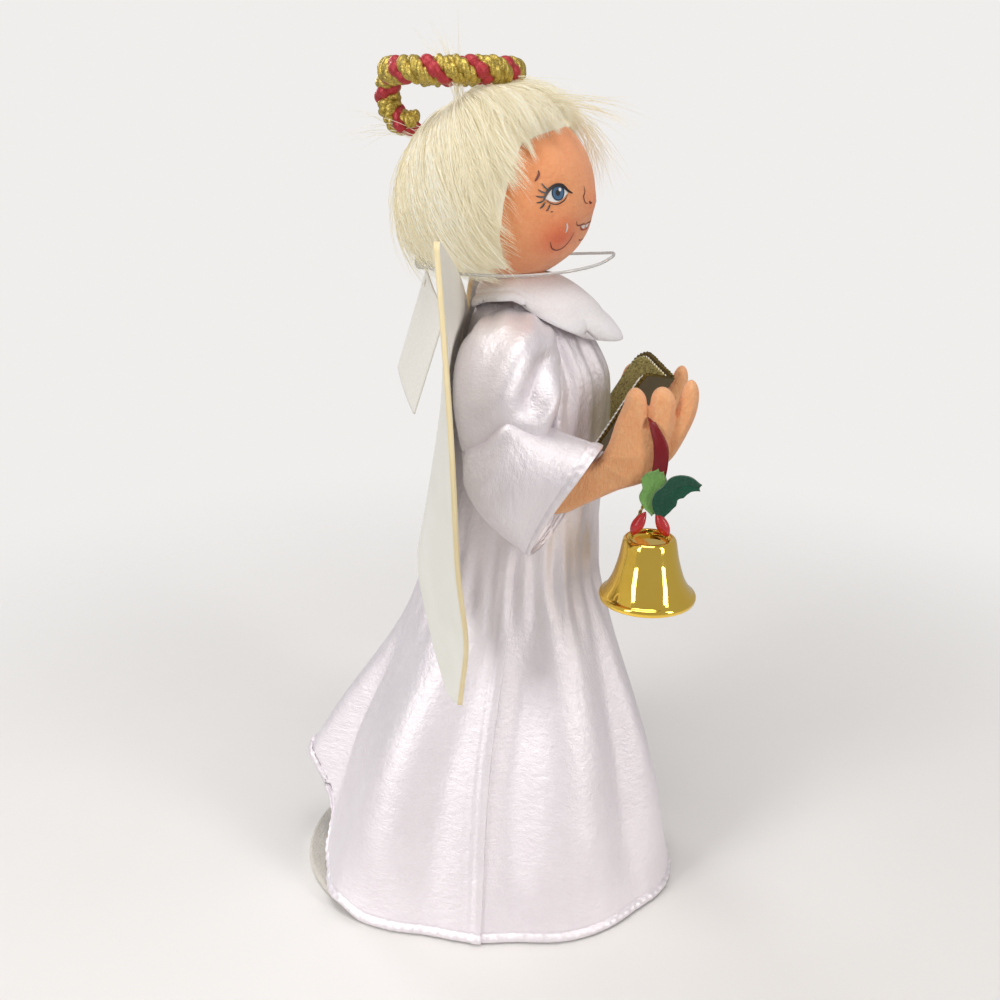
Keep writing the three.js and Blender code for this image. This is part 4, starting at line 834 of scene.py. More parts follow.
collar_felt = felt("collar_felt", (255, 253, 254), (236, 232, 236), 0.0002)
collar_share = np.concatenate([np.linspace(0, 0.8, 20), 1 - 0.2 * (1 - np.linspace(0, 1, 16)[1:]) ** 2])
collar_grid = collar_surface(collar_share[:, None], full_turn(COLLAR_SIDES)[None])
collar_up = ring_normals(collar_grid)
collar_up *= np.sign(collar_up[..., 2:])
puffed = COLLAR_HALF * np.sqrt(np.clip(1 - np.clip((collar_share - 0.84) / 0.16, 0, 1) ** 2, 0.02, 1))
puffed = (puffed * (1 - 0.35 * bell_curve(collar_share, 0.72, 0.05)))[:, None, None]
collar_rings = np.concatenate([collar_grid + collar_up * puffed, (collar_grid - collar_up * puffed)[::-1]])
collar_shape = (collar_rings.reshape(-1, 3), [grid_faces(*collar_rings.shape[:2], True, True)])
collar = add_piece("felt_collar", collar_shape, [collar_felt], "body", "white_felt", "collar")

# Wings. Two boards faced with smooth off-white paper and cut with a bare tan edge, glued to the back of the
# gown and bowed forward to their outer edge.
WING_TIP, WING_SIDE, WING_FOOT = (58, 2.8, 202), (70, -2, 146), (46, 1.5, 79)
WING_ROOT_TOP, WING_ROOT_FOOT, WING_WAIST = (0.5, 176), (0.5, 119), (24, 108)
TIP_ROUND, WING_STAND_OFF, WING_BULGE, BULGE_LIFT, BULGE_SPREAD = 1.6, 1.1, 2.2, 24, 18
WING_ROWS, WING_COLUMNS = 110, 40
# depth through the board and how far the outline is drawn in, from the front face round the edge to the back
WING_EDGE_STEPS = [(0.4, 0.01), (0.5, 0.004), (0.7, 0), (1.1, 0), (1.5, 0), (1.7, 0.004), (1.8, 0.01)]


def corner_spline(corners, share):
    """A smooth line through corners, read at shares of it: cubic spans with equal shares for each corner."""
    corners = np.asarray(corners, float)
    at = np.clip(share, 0, 1) * (len(corners) - 1)
    k = np.clip(at.astype(int), 0, len(corners) - 2)
    before, after = np.maximum(k - 1, 0), np.minimum(k + 2, len(corners) - 1)
    return cubic(corners[before], corners[k], corners[k + 1], corners[after], (at - k)[:, None])


def wing_surface(down, across, depth):
    """A point of a wing: straight across from its inner to its outer outline, swept from the gown's back towards
    the outer edge with the square of its distance from the middle, and set back through the board's depth."""
    r = TIP_ROUND
    tip, foot = np.array([WING_TIP, WING_FOOT]) + [(0, 0, -r), (0, 0, r)]
    inside = [(tip[0] - r, tip[2]), WING_ROOT_TOP, WING_ROOT_FOOT, WING_WAIST, (foot[0] - r, foot[2])]
    outside = [tip + (r, 0, 0), WING_SIDE, foot + (r, 0, 0)]
    inner, outer = corner_spline(inside, down), corner_spline(outside, down)
    near_end = np.clip((np.abs(2 * down - 1) - 0.94) / 0.06, 0, 1)
    drawn_in = (inner - outer[:, ::2]) * (1 - np.sqrt(1 - 0.96 * near_end**2))[:, None] / 2
    inner = inner - drawn_in
    outer = outer + np.stack([drawn_in[:, 0], 0 * down, drawn_in[:, 1]], -1)
    x, z = np.moveaxis(inner[:, None] * (1 - across[:, None]) + outer[:, None, ::2] * across[:, None], -1, 0)
    x = np.maximum(x, WING_ROOT_TOP[0])
    root = at_level(GOWN_LEVELS, np.clip(z, WING_WAIST[1], WING_ROOT_TOP[1]), 2) + WING_STAND_OFF
    bulge = WING_BULGE * bell_curve(z, WING_FOOT[2] + BULGE_LIFT, BULGE_SPREAD)
    sweep = (outer[:, None, 1] - bulge - root) * (x / outer[:, None, 0]) ** 2
    return np.stack([-x, root + sweep + depth, z], -1)


wing_board = Finish("wing_board", Roughness=0.5, Specular_IOR_Level=0.4)
wing_at, wing_edge = wing_board.place(), wing_board.tag("edge")
ply_lines = wing_board.noise(wing_at, 500, stretch=(0.3, 6, 0.3))
paper_face = wing_board.mix(wing_board.noise(wing_at, 70, 4), colour(232, 231, 220), colour(246, 245, 238))
bare_edge = wing_board.mix(ply_lines, colour(222, 198, 144), colour(246, 234, 196))
wing_board.set(Base_Color=wing_board.mix(wing_edge, paper_face, bare_edge))
wing_board.bump(wing_board.noise(wing_at, 1500) * 0.6 + ply_lines * wing_edge, 0.00008, 0.6)
wing_down = (1 - np.cos(np.pi * np.linspace(0, 1, WING_ROWS))) / 2
wing_across = np.linspace(0, 1, WING_COLUMNS)
front, *edges, back = [
    wing_surface(wing_down, inset + wing_across * (1 - 2 * inset), depth).reshape(-1, 3)
    for depth, inset in WING_EDGE_STEPS
]
number = np.arange(WING_ROWS * WING_COLUMNS).reshape(WING_ROWS, WING_COLUMNS)
rim_at = np.concatenate([number[:, 0], number[-1, 1:], number[::-1, -1][1:], number[0, ::-1][1:-1]])
wing_points = np.concatenate([front, back, *[layer[rim_at] for layer in edges]])
faced = 2 * number.size
rim_rows = faced + np.arange(len(edges) * len(rim_at)).reshape(len(edges), -1)
rows = [rim_at, *rim_rows, rim_at + number.size]
rim_faces = [np.stack([a, np.roll(a, -1), np.roll(b, -1), b], -1) for a, b in zip(rows[:-1], rows[1:])]
board = grid_faces(WING_ROWS, WING_COLUMNS)
edge_tag = {"edge": np.arange(len(wing_points)) >= faced}
for name, side in [("right", 1), ("left", -1)]:
    shape = (wing_points * (side, 1, 1), [board, board + number.size, *rim_faces])
    add_piece(f"board_wing_{name}", shape, [wing_board], "body", "wing_board", f"wing_{name}", tags=edge_tag)

# Head. A stuffed ball of skin felt with a small pressed nose and full cheeks, turned towards the doll's right
# hand. The cheeks are rubbed with rouge.
HEAD_TURN = math.radians(-14)
HEAD_MIDDLE, HEAD_HALF = np.array([0, 4, 206.6]), np.array([22.6, 23.8, 22.6])
FACE_SCALE, CHIN_GAP, CHIN_DROP = 22.6, 0.3, 1.4
HEAD_ROWS, HEAD_COLUMNS, HEAD_POLE = 140, 220, 1.5


def on_head(points):
    """Points in the head's own frame, which faces -Y and has its origin on the neck's axis, turned and set on
    the neck."""
    x, y, z = np.moveaxis(np.asarray(points, float), -1, 0)
    x, y = turned(x, y, HEAD_TURN)
    return np.stack([x, y + NECK_Y, z], -1)


def hump(beside, above, place, wide, tall):
    """A round hump on the face: the product of a bell curve sideways and one up and down."""
    return np.exp(-(((beside - place[0]) / wide) ** 2) - ((above - place[1]) / tall) ** 2)


def head_surface(beside, above, out=0.0):
    """A point of the head at millimetres beside the nose (towards its right) and above its middle, measured
    along the skin. The ball swells at the nose, cheeks and chin, and is pressed in at the eyes and the mouth."""
    turn, tilt = np.asarray(beside, float) / FACE_SCALE, np.asarray(above, float) / FACE_SCALE
    either = np.abs(beside)
    swell = 0.9 * hump(beside, above, (0, -1.6), 3.4, 3.6)
    swell = swell + 0.9 * hump(either, above, (12, -10), 6, 5.5) - 0.5 * hump(either, above, (13.5, 1.5), 5, 3.6)
    swell = swell - 0.45 * hump(beside, above, (0, -7.2), 6, 1.6) + 0.5 * hump(beside, above, (0, -14), 6, 4)
    away = np.stack([-np.sin(turn) * np.cos(tilt), -np.cos(turn) * np.cos(tilt), np.sin(tilt) + 0 * turn], -1)
    return HEAD_MIDDLE + away * (HEAD_HALF + (swell + out)[..., None])


rouge_felt = Finish("painted_felt", Roughness=0.93, Sheen_Weight=0.35, Sheen_Roughness=0.5, Specular_IOR_Level=0.2)
head_at = rouge_felt.place()
head_hairs = rouge_felt.noise(head_at, 1500, 5, 0.75, (1, 1, 0.4))
head_crossed = rouge_felt.noise(head_at, 1100, 4, 0.7, (0.4, 0.4, 1))
head_tone = rouge_felt.noise(head_at, 120) * 0.5 + head_hairs * 0.9 + head_crossed * 0.6 - 0.5
plain_skin = rouge_felt.mix(head_tone, colour(246, 147, 94), colour(255, 187, 134))
rouged = rouge_felt.mix(head_tone, colour(232, 96, 58), colour(248, 136, 94))
rouge_felt.set(Base_Color=rouge_felt.mix(rouge_felt.tag("rouge"), plain_skin, rouged))
rouge_felt.bump(head_hairs + head_crossed, 0.0004, 0.9)
head_round = np.linspace(-np.pi, np.pi, HEAD_COLUMNS, endpoint=False)
head_up = np.linspace(-HEAD_POLE, HEAD_POLE, HEAD_ROWS)
beside, above = np.meshgrid(head_round * FACE_SCALE, head_up * FACE_SCALE)
head_points, head_faces = capped(head_surface(beside, above))
from_neck = np.hypot(head_points[:, 0], head_points[:, 1])
chin_level = NECK_TOP + CHIN_GAP - CHIN_DROP * eased(from_neck, 8.2, 10.5)
head_points[:, 2] = np.maximum(head_points[:, 2], chin_level)
rouge = 0.95 * hump(np.abs(beside), above, (12.7, -10), 6.2, 4.8) + 0.4 * hump(beside, above, (0, -1.5), 4, 3.5)
head_tags = {"rouge": np.concatenate([rouge.ravel(), [0, 0]])}
head = add_piece(
    "felt_head", (on_head(head_points), head_faces), [rouge_felt], "head", "skin_felt", "head", tags=head_tags
)

# Face. Fine brush strokes of paint on the felt: eyes with lashes, short brows, the lines of the nose, the
# mouth and the dimples. Each half mirrors the other.
LASHES = [
    ((17.2, 2.0), (19.0, 3.6)), ((17.8, 1.3), (20.0, 2.2)), ((18.2, 0.5), (20.6, 0.7)),
    ((18.3, -0.3), (20.4, -0.9)), ((18.0, -0.8), (19.5, -2.3)), ((16.8, -1.3), (17.5, -2.7)),
]
LASH_SAG = 0.18


def stroke(knots, width, out, count=30):
    """A brush stroke: a narrow strip along a line through places on the face, as wide in the middle as its
    width and pointed at its ends."""
    line = smooth_path(knots, count)
    along = unit(np.gradient(line, axis=0), 1e-9)
    taper = np.sqrt(np.clip(np.sin(np.linspace(0.06, np.pi - 0.06, count)), 0, 1)) * width / 2
    cross = np.stack([-along[:, 1], along[:, 0]], -1) * taper[:, None]
    flat = line[:, None] + cross[:, None] * np.linspace(-1, 1, 5)[None, :, None]
    return head_surface(flat[..., 0], flat[..., 1], out + 0 * flat[..., 0]).reshape(-1, 3), [grid_faces(count, 5)]


def dab(outline, out, rings=8):
    """A filled patch of paint: rings that shrink from an outline on the face to its middle."""
    middle = outline.mean(0)
    flat = middle + (outline - middle)[None] * np.linspace(1, 0.02, rings)[:, None, None]
    skin = head_surface(flat[..., 0], flat[..., 1], out + 0 * flat[..., 0]).reshape(-1, 3)
    last = np.arange(len(outline))[None] + (rings - 1) * len(outline)
    return skin, [grid_faces(rings, len(outline), True), last]


def oval(beside, above, half_wide, half_tall):
    around = full_turn(40)
    return np.stack([beside + half_wide * np.cos(around), above + half_tall * np.sin(around)], -1)


def almond(left, right, high, low, count=24):
    """An eye's outline: one arc over and one arc under the line between its corners."""
    share = np.linspace(0, 1, count)
    base_line = np.outer(1 - share, left) + np.outer(share, right)
    arc = np.sin(share * np.pi)
    return np.concatenate([base_line + np.outer(arc, (0, high)), (base_line - np.outer(arc, (0, low)))[::-1][1:-1]])


def facing_away(points, faces, middle):
    """The faces, each turned round where needed so that it looks away from a middle."""
    outward = []
    for array in faces:
        a, b, c = points[array[:, 0]], points[array[:, 1]], points[array[:, 2]]
        looks_in = np.sum(np.cross(b - a, c - a) * (a - middle), 1) < 0
        outward.append(np.where(looks_in[:, None], np.roll(array[:, ::-1], 1, 1), array))
    return outward


def paint(name, red, green, blue, rough=0.45):
    finish = Finish(name, Roughness=rough)
    streak = finish.noise(finish.place(), 1400)
    finish.tint(streak, (red * 0.86, green * 0.86, blue * 0.86), (red, green, blue))
    finish.bump(streak, 0.00004)
    return finish


face_paint = {
    "white": paint("eye_white", 246, 244, 240, 0.3),
    "blue": paint("eye_blue", 74, 112, 148, 0.25),
    "blue_dark": paint("eye_blue_dark", 30, 48, 76, 0.25),
    "black": paint("lash_black", 22, 18, 18, 0.35),
    "brown": paint("line_brown", 120, 52, 34),
    "red": paint("lip_red", 176, 58, 48),
    "shine": paint("shine_white", 250, 246, 242, 0.3),
}
# each mark's paint and shape: a line or an outline, a stroke's width, and how far it lies off the felt
marks = [
    ("white", dab(almond((18.0, 0.0), (11.2, 1.2), 2.5, 1.5), 0.1)),
    ("blue_dark", dab(oval(14.35, 1.35, 1.95, 2.0), 0.14)),
    ("blue", dab(oval(14.35, 1.3, 1.6, 1.65), 0.17)),
    ("black", dab(oval(14.45, 1.3, 0.72, 0.78), 0.2)),
    ("shine", dab(oval(13.85, 2.05, 0.42, 0.42), 0.24)),
    ("black", stroke([(18.6, -0.6), (17.6, 1.5), (15.6, 2.9), (13.2, 3.0), (11.2, 1.6), (9.9, 1.0)], 0.9, 0.24)),
    ("black", stroke([(18.0, -0.3), (16.4, -1.2), (14.6, -1.4), (12.6, -0.6), (11.4, 0.8)], 0.3, 0.22)),
    ("brown", stroke([(20.7, 4.1), (20.0, 4.9), (19.5, 5.9), (19.6, 6.7)], 0.62, 0.12)),
    ("brown", stroke([(17.9, -2.9), (17.1, -2.6)], 0.35, 0.12)),
    ("brown", stroke([(16.6, -3.2), (15.9, -3.1)], 0.3, 0.12)),
    ("brown", stroke([(5.4, 2.6), (5.0, 1.2), (5.6, 0.0), (4.9, -1.4), (3.6, -1.9)], 0.3, 0.14)),
    ("brown", stroke([(3.2, -1.2), (2.6, -1.7), (2.0, -1.6)], 0.55, 0.14)),
    ("brown", stroke([(7.6, -5.8), (6.9, -6.9), (5.0, -7.3), (2.6, -7.2), (0, -7.5)], 0.36, 0.12)),
    ("shine", dab(almond((3.6, -7.6), (0, -7.8), 0.1, 0.75), 0.12)),
    ("red", stroke([(4.4, -7.6), (3.0, -8.5), (0, -8.9)], 0.42, 0.14)),
    ("brown", stroke([(2.2, -11.2), (1.0, -11.6), (0, -11.6)], 0.28, 0.12)),
    (
        "brown",
        stroke([(15.4, -10.6), (14.0, -12.6), (11.6, -13.4), (9.4, -12.6), (7.9, -10.0), (7.5, -8.6)], 0.34, 0.12),
    ),
    ("shine", stroke([(11.4, -8.4), (11.1, -7.2), (11.6, -6.0)], 0.55, 0.12)),
]
for start, end in LASHES:
    bend = ((start[0] + end[0]) / 2, (start[1] + end[1]) / 2 - LASH_SAG)
    marks.append(("black", stroke([start, bend, end], 0.42, 0.26, 12)))
halves = [(points * (side, 1, 1), faces) for side in (1, -1) for _, (points, faces) in marks]
paint_points, paint_faces = joined(*halves)
mark_sizes = [sum(len(array) for array in faces) for _, (_, faces) in marks]
paint_of = np.tile(np.repeat([list(face_paint).index(key) for key, _ in marks], mark_sizes), 2)
paint_shape = (on_head(paint_points), facing_away(paint_points, paint_faces, HEAD_MIDDLE))
paints = list(face_paint.values())
add_piece("face_paint", paint_shape, paints, "head", "skin_felt", finish_of=paint_of, turn_out=False)

# Hair. A wig of pale mohair: a backing cap glued to the head, and locks of fine fibre combed out from the
# crown that end in loose points round the face and at the nape, with stray hairs over all. The locks and the
# cap glow faintly in their own colour: painted light, standing in for light through the fibres.
HAIR_BACK, HAIR_PAINTED_GLOW, NAPE, CAP_ROWS, CAP_SIDES = 1.6, 0.16, -49, 40, 160
CROWN_TILT = math.radians(24)
# degrees above the head's middle, and degrees round from the face where the hair begins there
HAIRLINE = np.array([
    (-90, 120), (-56, 66), (-40, 72), (-23, 74), (0, 71), (20, 66), (34, 59), (40, 46), (45, 24), (47, 0), (90, 0),
])
random = np.random.default_rng(12)


def from_crown(polar, angle):
    """The direction at an angle from the crown and an angle round it from the front. The crown leans back."""
    x, y = -np.sin(polar) * np.sin(angle), -np.sin(polar) * np.cos(angle)
    z, y = turned(np.cos(polar), y, CROWN_TILT)
    return np.stack(np.broadcast_arrays(x, y, z), -1)


def hair_reach():
    """For each angle round the crown, how far from it the hair goes before it meets the hairline or the nape."""
    angle = np.linspace(-np.pi, np.pi, 361)
    polar = np.linspace(0.05, 2.9, 300)
    way = from_crown(polar[:, None], angle[None])
    tilt = np.degrees(np.arcsin(np.clip(way[..., 2], -1, 1)))
    turn = np.degrees(np.arctan2(np.abs(way[..., 0]), -way[..., 1]))
    bare = (turn < np.interp(tilt, *HAIRLINE.T)) | (tilt < NAPE)
    return angle, polar[np.argmax(bare, 0)]


REACH = hair_reach()


def hair_point(polar, angle, lift):
    """A point over the scalp, a lift above the head's surface. Behind the face the wig is thicker."""
    way = from_crown(polar, angle)
    thick = np.clip(way[..., 1] * 0.5 + 0.5, 0, 1) * HAIR_BACK
    return HEAD_MIDDLE + way * (HEAD_HALF + (np.asarray(lift) + thick)[..., None])


# the hairs glow faintly in their own colour: painted light that stands in for light through the pale fibres
mohair = Finish("mohair", Roughness=0.5, Sheen_Weight=0.3, Specular_IOR_Level=0.4, Emission_Strength=HAIR_PAINTED_GLOW)
hair_tone = mohair.mix(mohair.tag("shade"), colour(226, 214, 174), colour(255, 252, 240))
mohair.set(Base_Color=hair_tone, Emission_Color=hair_tone)
mohair.bump(mohair.noise(mohair.place(), 3000, 2), 0.00003)
# the cap glows in its own colour in the same way: painted light
cap_finish = Finish("wig_cap", Roughness=0.75, Emission_Strength=HAIR_PAINTED_GLOW)
cap_streak = cap_finish.noise(cap_finish.cloth_place(), 5, 4, stretch=(60, 1.2, 1))
cap_tone = cap_finish.mix(cap_streak, colour(238, 228, 196), colour(252, 248, 232))
cap_finish.set(Base_Color=cap_tone, Emission_Color=cap_tone)
cap_finish.bump(cap_streak, 0.0006, 0.8)

cap_share = np.linspace(0.02, 1, CAP_ROWS)[:, None]
cap_angle = np.linspace(-np.pi, np.pi, CAP_SIDES, endpoint=False)[None]
cap_polar = cap_share * np.interp(cap_angle, *REACH)
cap_lift = 1.9 * (1 - cap_share**4) + 0.25 + 0.3 * np.sin(23 * cap_angle) * cap_share
cap_rings = hair_point(cap_polar, cap_angle, cap_lift)
under_rings = hair_point(cap_polar, cap_angle, cap_lift * 0 - HAIR_BACK - 0.6)
cap_points, cap_faces = capped(np.concatenate([cap_rings, under_rings[::-1]]))
cap_cloth = np.stack(np.broadcast_arrays(cap_angle / 6.3, cap_share), -1).reshape(-1, 2)
cap_cloth = np.concatenate([cap_cloth, cap_cloth[::-1], [[0, 0], [0, 0]]])
cap_shape = (on_head(cap_points), cap_faces)
add_piece("wig_cap", cap_shape, [cap_finish], "head", "white_fur", "hair_wig", cloth=cap_cloth)


def strands(paths, thickness):
    """Three-sided hairs along paths of equal count, thinned to a point at each end."""
    count, steps = paths.shape[:2]
    along = unit(np.gradient(paths, axis=1), 1e-9)
    side = unit(np.cross(along, paths - HEAD_MIDDLE), 1e-9)
    up = np.cross(side, along)
    taper = np.interp(np.linspace(0, 1, steps), [0, 0.08, 0.6, 1], [0.5, 1, 0.9, 0.08])[None, :, None, None]
    around = np.array([0, 2, 4]) * np.pi / 3 + np.pi / 6
    spokes = side[:, :, None] * np.cos(around)[:, None] + up[:, :, None] * np.sin(around)[:, None]
    rings = paths[:, :, None] + spokes * taper * np.asarray(thickness).reshape(-1, 1, 1, 1)
    starts = np.arange(count)[:, None, None] * steps * 3
    sides = grid_faces(steps, 3, True)[None] + starts
    ends = np.stack([[0, 1, 2], [steps * 3 - 1, steps * 3 - 2, steps * 3 - 3]])[None] + starts
    return rings.reshape(-1, 3), [sides.reshape(-1, 4), ends.reshape(-1, 3)]


def lock_paths(count, low, high, clumps, length, lift, gather, stray, steps=9):
    """Hairs combed from the crown. Each starts at some distance from it, runs outwards for its length, bends to
    its lock's own line as it goes, rises over the cap and falls in again at its tip."""
    lock_angle = np.sort(random.uniform(low, high, clumps))
    lock_swing = random.normal(0, 0.10, clumps)
    lock_end = random.uniform(0.84, 1.06, clumps)
    lock_lift = random.uniform(0.5, 1.6, clumps)
    lock_flick = random.normal(0, 1.0, clumps)
    lock_wave, lock_phase = random.uniform(0.03, 0.11, clumps), random.uniform(0, 6.3, clumps)
    which = random.integers(0, clumps, count)
    own = lock_angle[which] + random.normal(0, (high - low) / clumps * 1.1, count)
    end = np.interp(own, *REACH) * (lock_end[which] + random.normal(0, 0.03, count))
    begin = np.maximum(end - random.uniform(*length, count) / FACE_SCALE, random.uniform(0.05, 0.3, count))
    s = np.linspace(0, 1, steps)[None]
    polar = begin[:, None] + (end - begin)[:, None] * s
    angle = own[:, None] + (lock_angle[which] - own)[:, None] * gather * s**1.5 + lock_swing[which][:, None] * s**2
    angle = angle + random.normal(0, 0.02, (count, 1)) * np.sin(s * 6 + random.uniform(0, 6, (count, 1)))
    angle = angle + lock_wave[which][:, None] * s * np.sin(s * 4.6 + lock_phase[which][:, None])
    rise = lock_lift[which][:, None] * np.sin(np.pi * np.clip(s * 0.9 + 0.05, 0, 1)) * lift
    rise = rise + random.uniform(0.3, 2.1, (count, 1)) + lock_flick[which][:, None] * s**4
    rise = rise + stray * np.abs(random.normal(0, 1, (count, 1))) * s**2
    return hair_point(polar, angle, np.maximum(rise, 0.3))


def add_hair(name, paths, thin, thick):
    """One bundle of hairs as a piece, each a little lighter or darker than the next and paler to its tip."""
    points, faces = strands(paths, random.uniform(thin, thick, len(paths)))
    steps = paths.shape[1]
    turn = np.arctan2(paths[:, steps // 2, 0], paths[:, steps // 2, 1])
    streak = 0.74 + 0.26 * np.sin(19 * turn + 2.4 * np.sin(7 * turn))
    tone = random.uniform(0.3, 1, len(paths))[:, None] * streak[:, None] * np.linspace(0.85, 1.15, steps)[None]
    shades = {"shade": np.repeat(np.clip(tone, 0, 1).ravel(), 3)}
    add_piece(name, (on_head(points), faces), [mohair], "head", "white_fur", tags=shades, turn_out=False)


add_hair("hair_right", lock_paths(3600, 0.35, 2.2, 46, (22, 40), 1.6, 0.75, 0.25), 0.07, 0.15)
add_hair("hair_left", lock_paths(3600, -2.2, -0.35, 46, (22, 40), 1.6, 0.75, 0.25), 0.07, 0.15)
add_hair("hair_back", lock_paths(3600, -np.pi, np.pi, 90, (16, 34), 1.2, 0.65, 0.3), 0.07, 0.15)
add_hair("hair_front", lock_paths(2200, -0.6, 0.6, 26, (14, 30), 1.5, 0.6, 0.5), 0.07, 0.14)
add_hair("hair_stray", lock_paths(900, -np.pi, np.pi, 160, (14, 30), 2.0, 0.2, 3.4), 0.05, 0.09)

# each wisp's root, bend and tip in the head's own frame, and how many hairs it has
WISPS = [
    ((2, 17, 228), (3, 20, 236), (6, 25, 243), 16),
    ((-3, 15, 229), (-4, 15, 238), (-6, 20, 245), 14),
    ((-2, 27, 221), (-3, 37, 224), (-5, 46, 222), 12),
    ((-3, -4, 229), (-4, -16, 231), (-6, -30, 226), 22),
    ((6, -2, 229), (8, -14, 230), (9, -27, 223), 16),
    ((3, -7, 228), (5, -19, 226), (6, -21, 211), 46),
    ((10, -6, 227), (12, -17, 223), (13, -18, 208), 40),
]
WISP_SPREAD = np.array([1, 1.6, 3])[:, None]
wisp_paths = []
for *places, hairs in WISPS:
    spread = np.array(places)[None] + random.normal(0, 1, (hairs, 3, 3)) * WISP_SPREAD
    s = np.linspace(0, 1, 12)[None, :, None]
    wisp_paths.append(spread[:, :1] * (1 - s) ** 2 + spread[:, 1:2] * 2 * s * (1 - s) + spread[:, 2:] * s**2)
add_hair("hair_wisps", np.concatenate(wisp_paths), 0.05, 0.09)

# Halo. A cord laid from two plies of gold metallic yarn and one of red, bent to a level ring over the hair,
# with its tail turned down and glued behind the crown.
HALO_RADIUS, HALO_PITCH, HALO_BEND, HALO_SAMPLES = 15.8, 10.3, 3.8, 520
HALO_CENTRE, HALO_TAIL = (18.6, 236.4), (28.6, 224.2)
PLY_OUT, PLY_CORE, PLY_RIDGE, PLY_SIDES = 1.72, 1.2, 0.7, 22
ring_angle = np.radians(104 + 316 * np.linspace(0, 1, 15))
halo_route = [
    (0, HALO_TAIL[0], HALO_TAIL[1]),
    (0, HALO_TAIL[0] + HALO_BEND * math.sqrt(2), HALO_TAIL[1]),
    (0, HALO_CENTRE[0] + HALO_RADIUS + HALO_BEND / math.sqrt(2), (HALO_TAIL[1] + HALO_CENTRE[1]) / 2),
    *[(HALO_RADIUS * math.cos(a), HALO_CENTRE[0] + HALO_RADIUS * math.sin(a), HALO_CENTRE[1]) for a in ring_angle],
]
halo_path = smooth_path(halo_route, HALO_SAMPLES)
halo_run = np.linspace(0, run_along(halo_path)[-1], HALO_SAMPLES)


def ply(start, strand_count, bead):
    """One ply of the cord: a hose whose centre winds round the cord's path, grooved by the twist of its own
    yarns, so that it looks like a row of beads."""
    side, over = carried_frames(halo_path)
    wind = 2 * np.pi * (halo_run / HALO_PITCH + start)
    centre = halo_path + PLY_OUT * (side * np.cos(wind)[:, None] + over * np.sin(wind)[:, None])
    twist = full_turn(PLY_SIDES)[None] * strand_count - 2 * np.pi * halo_run[:, None] / bead
    groove = np.abs(np.cos(twist / 2)) ** 0.7
    shrink = np.minimum(1, np.minimum(halo_run, halo_run[::-1]) / 1.2 + 0.25)[:, None]
    return capped(hose(centre, (PLY_CORE + PLY_RIDGE * groove) * shrink, PLY_SIDES))


def yarn(name, low, high, metal, glint):
    """Metallic yarn: many fine threads with a bright or dark glint each."""
    finish = Finish(name, Metallic=metal)
    where = finish.place()
    glitter, thread = finish.cells(where, 3300), finish.noise(where, 2600)
    finish.tint(glitter * glint + thread * (1 - glint), low, high)
    finish.set(Roughness=thread * 0.35 + 0.2)
    finish.bump(thread * 0.6 + glitter * 0.5, 0.00022, 0.9)
    return finish


gold_yarn = yarn("gold_yarn", (96, 72, 18), (244, 218, 112), 0.75, 0.6)
red_yarn = yarn("red_yarn", (120, 14, 26), (222, 70, 78), 0.25, 0.3)
halo_points, halo_faces = joined(ply(0, 0, 2.1), ply(1 / 3, 3, 1.4), ply(2 / 3, 3, 1.4))
ply_of = np.repeat([0, 1, 1], sum(len(array) for array in halo_faces) // 3)
halo_shape = (on_head(halo_points), halo_faces)
add_piece("halo_plies", halo_shape, [red_yarn, gold_yarn], "halo", "gold_cord", "halo_cord", finish_of=ply_of)

# Songbook. Two covers of metallic gold cloth with pinked edges that meet at the spine, each lined with a white
# card that is faced with the same cloth, held open between the hands. The covers are drawn in a darkened copy
# of the gold cloth, which is painted shade.
BOOK_HEIGHT, BOOK_COVER, BOOK_GAP, CARD = 25, 0.9, 1.2, 0.5
BOOK_LEAN, BOOK_OPEN = math.radians(31), math.radians(60)
BOOK_FOOT = (-38, 137.4)
BOOK_WIDTH = (18 - BOOK_COVER * math.cos(BOOK_OPEN)) / math.sin(BOOK_OPEN) - BOOK_GAP
TOOTH_WIDTH, COVER_TOOTH, PAGE_TOOTH, PAGE_MARGIN, PAGE_BOW = 1.3, 0.7, 0.5, 1.2, 0.25
SPINE_PLAY, PAGE_AT = 0.02, 0.3
LEAF_SHARES = np.concatenate([[1, 0.97], np.linspace(0.85, 0.08, 7)])


def on_book(points, side):
    """Points of one half, given as from the spine, towards the reader and up it, turned open about the spine
    and leant back with the book."""
    x, y, z = np.moveaxis(np.asarray(points, float), -1, 0)
    x, y = turned(x, y, math.pi / 2 - side * BOOK_OPEN)
    y, z = turned(y, z, BOOK_LEAN)
    return np.stack([x, y + BOOK_FOOT[0], z + BOOK_FOOT[1]], -1)


def book_outline(margin, corner, tooth):
    """A leaf's outline: straight at the spine, with one round outer top corner and edges cut in small teeth."""
    w, h = BOOK_WIDTH - margin, BOOK_HEIGHT - margin
    arc = np.linspace(0, np.pi / 2, 14)[1:-1]
    bend = np.c_[w - corner + corner * np.cos(arc), h - corner + corner * np.sin(arc)]
    low, high = [(margin, margin), (w, margin), (w, h - corner)], [(w - corner, h), (margin, h), (margin, margin)]
    knots = np.concatenate([low, bend, high])
    run = run_along(knots)
    even = np.linspace(0, run[-1], int(run[-1] / 0.3) // 2 * 2, endpoint=False)
    line = np.stack([np.interp(even, run, values) for values in knots.T], -1)
    middle = np.array([w / 2, h / 2])
    notch = tooth * (np.abs((even / TOOTH_WIDTH) % 1 - 0.5) * 2)
    return middle + (line - middle) * (1 - notch / np.linalg.norm(line - middle, axis=1))[:, None]


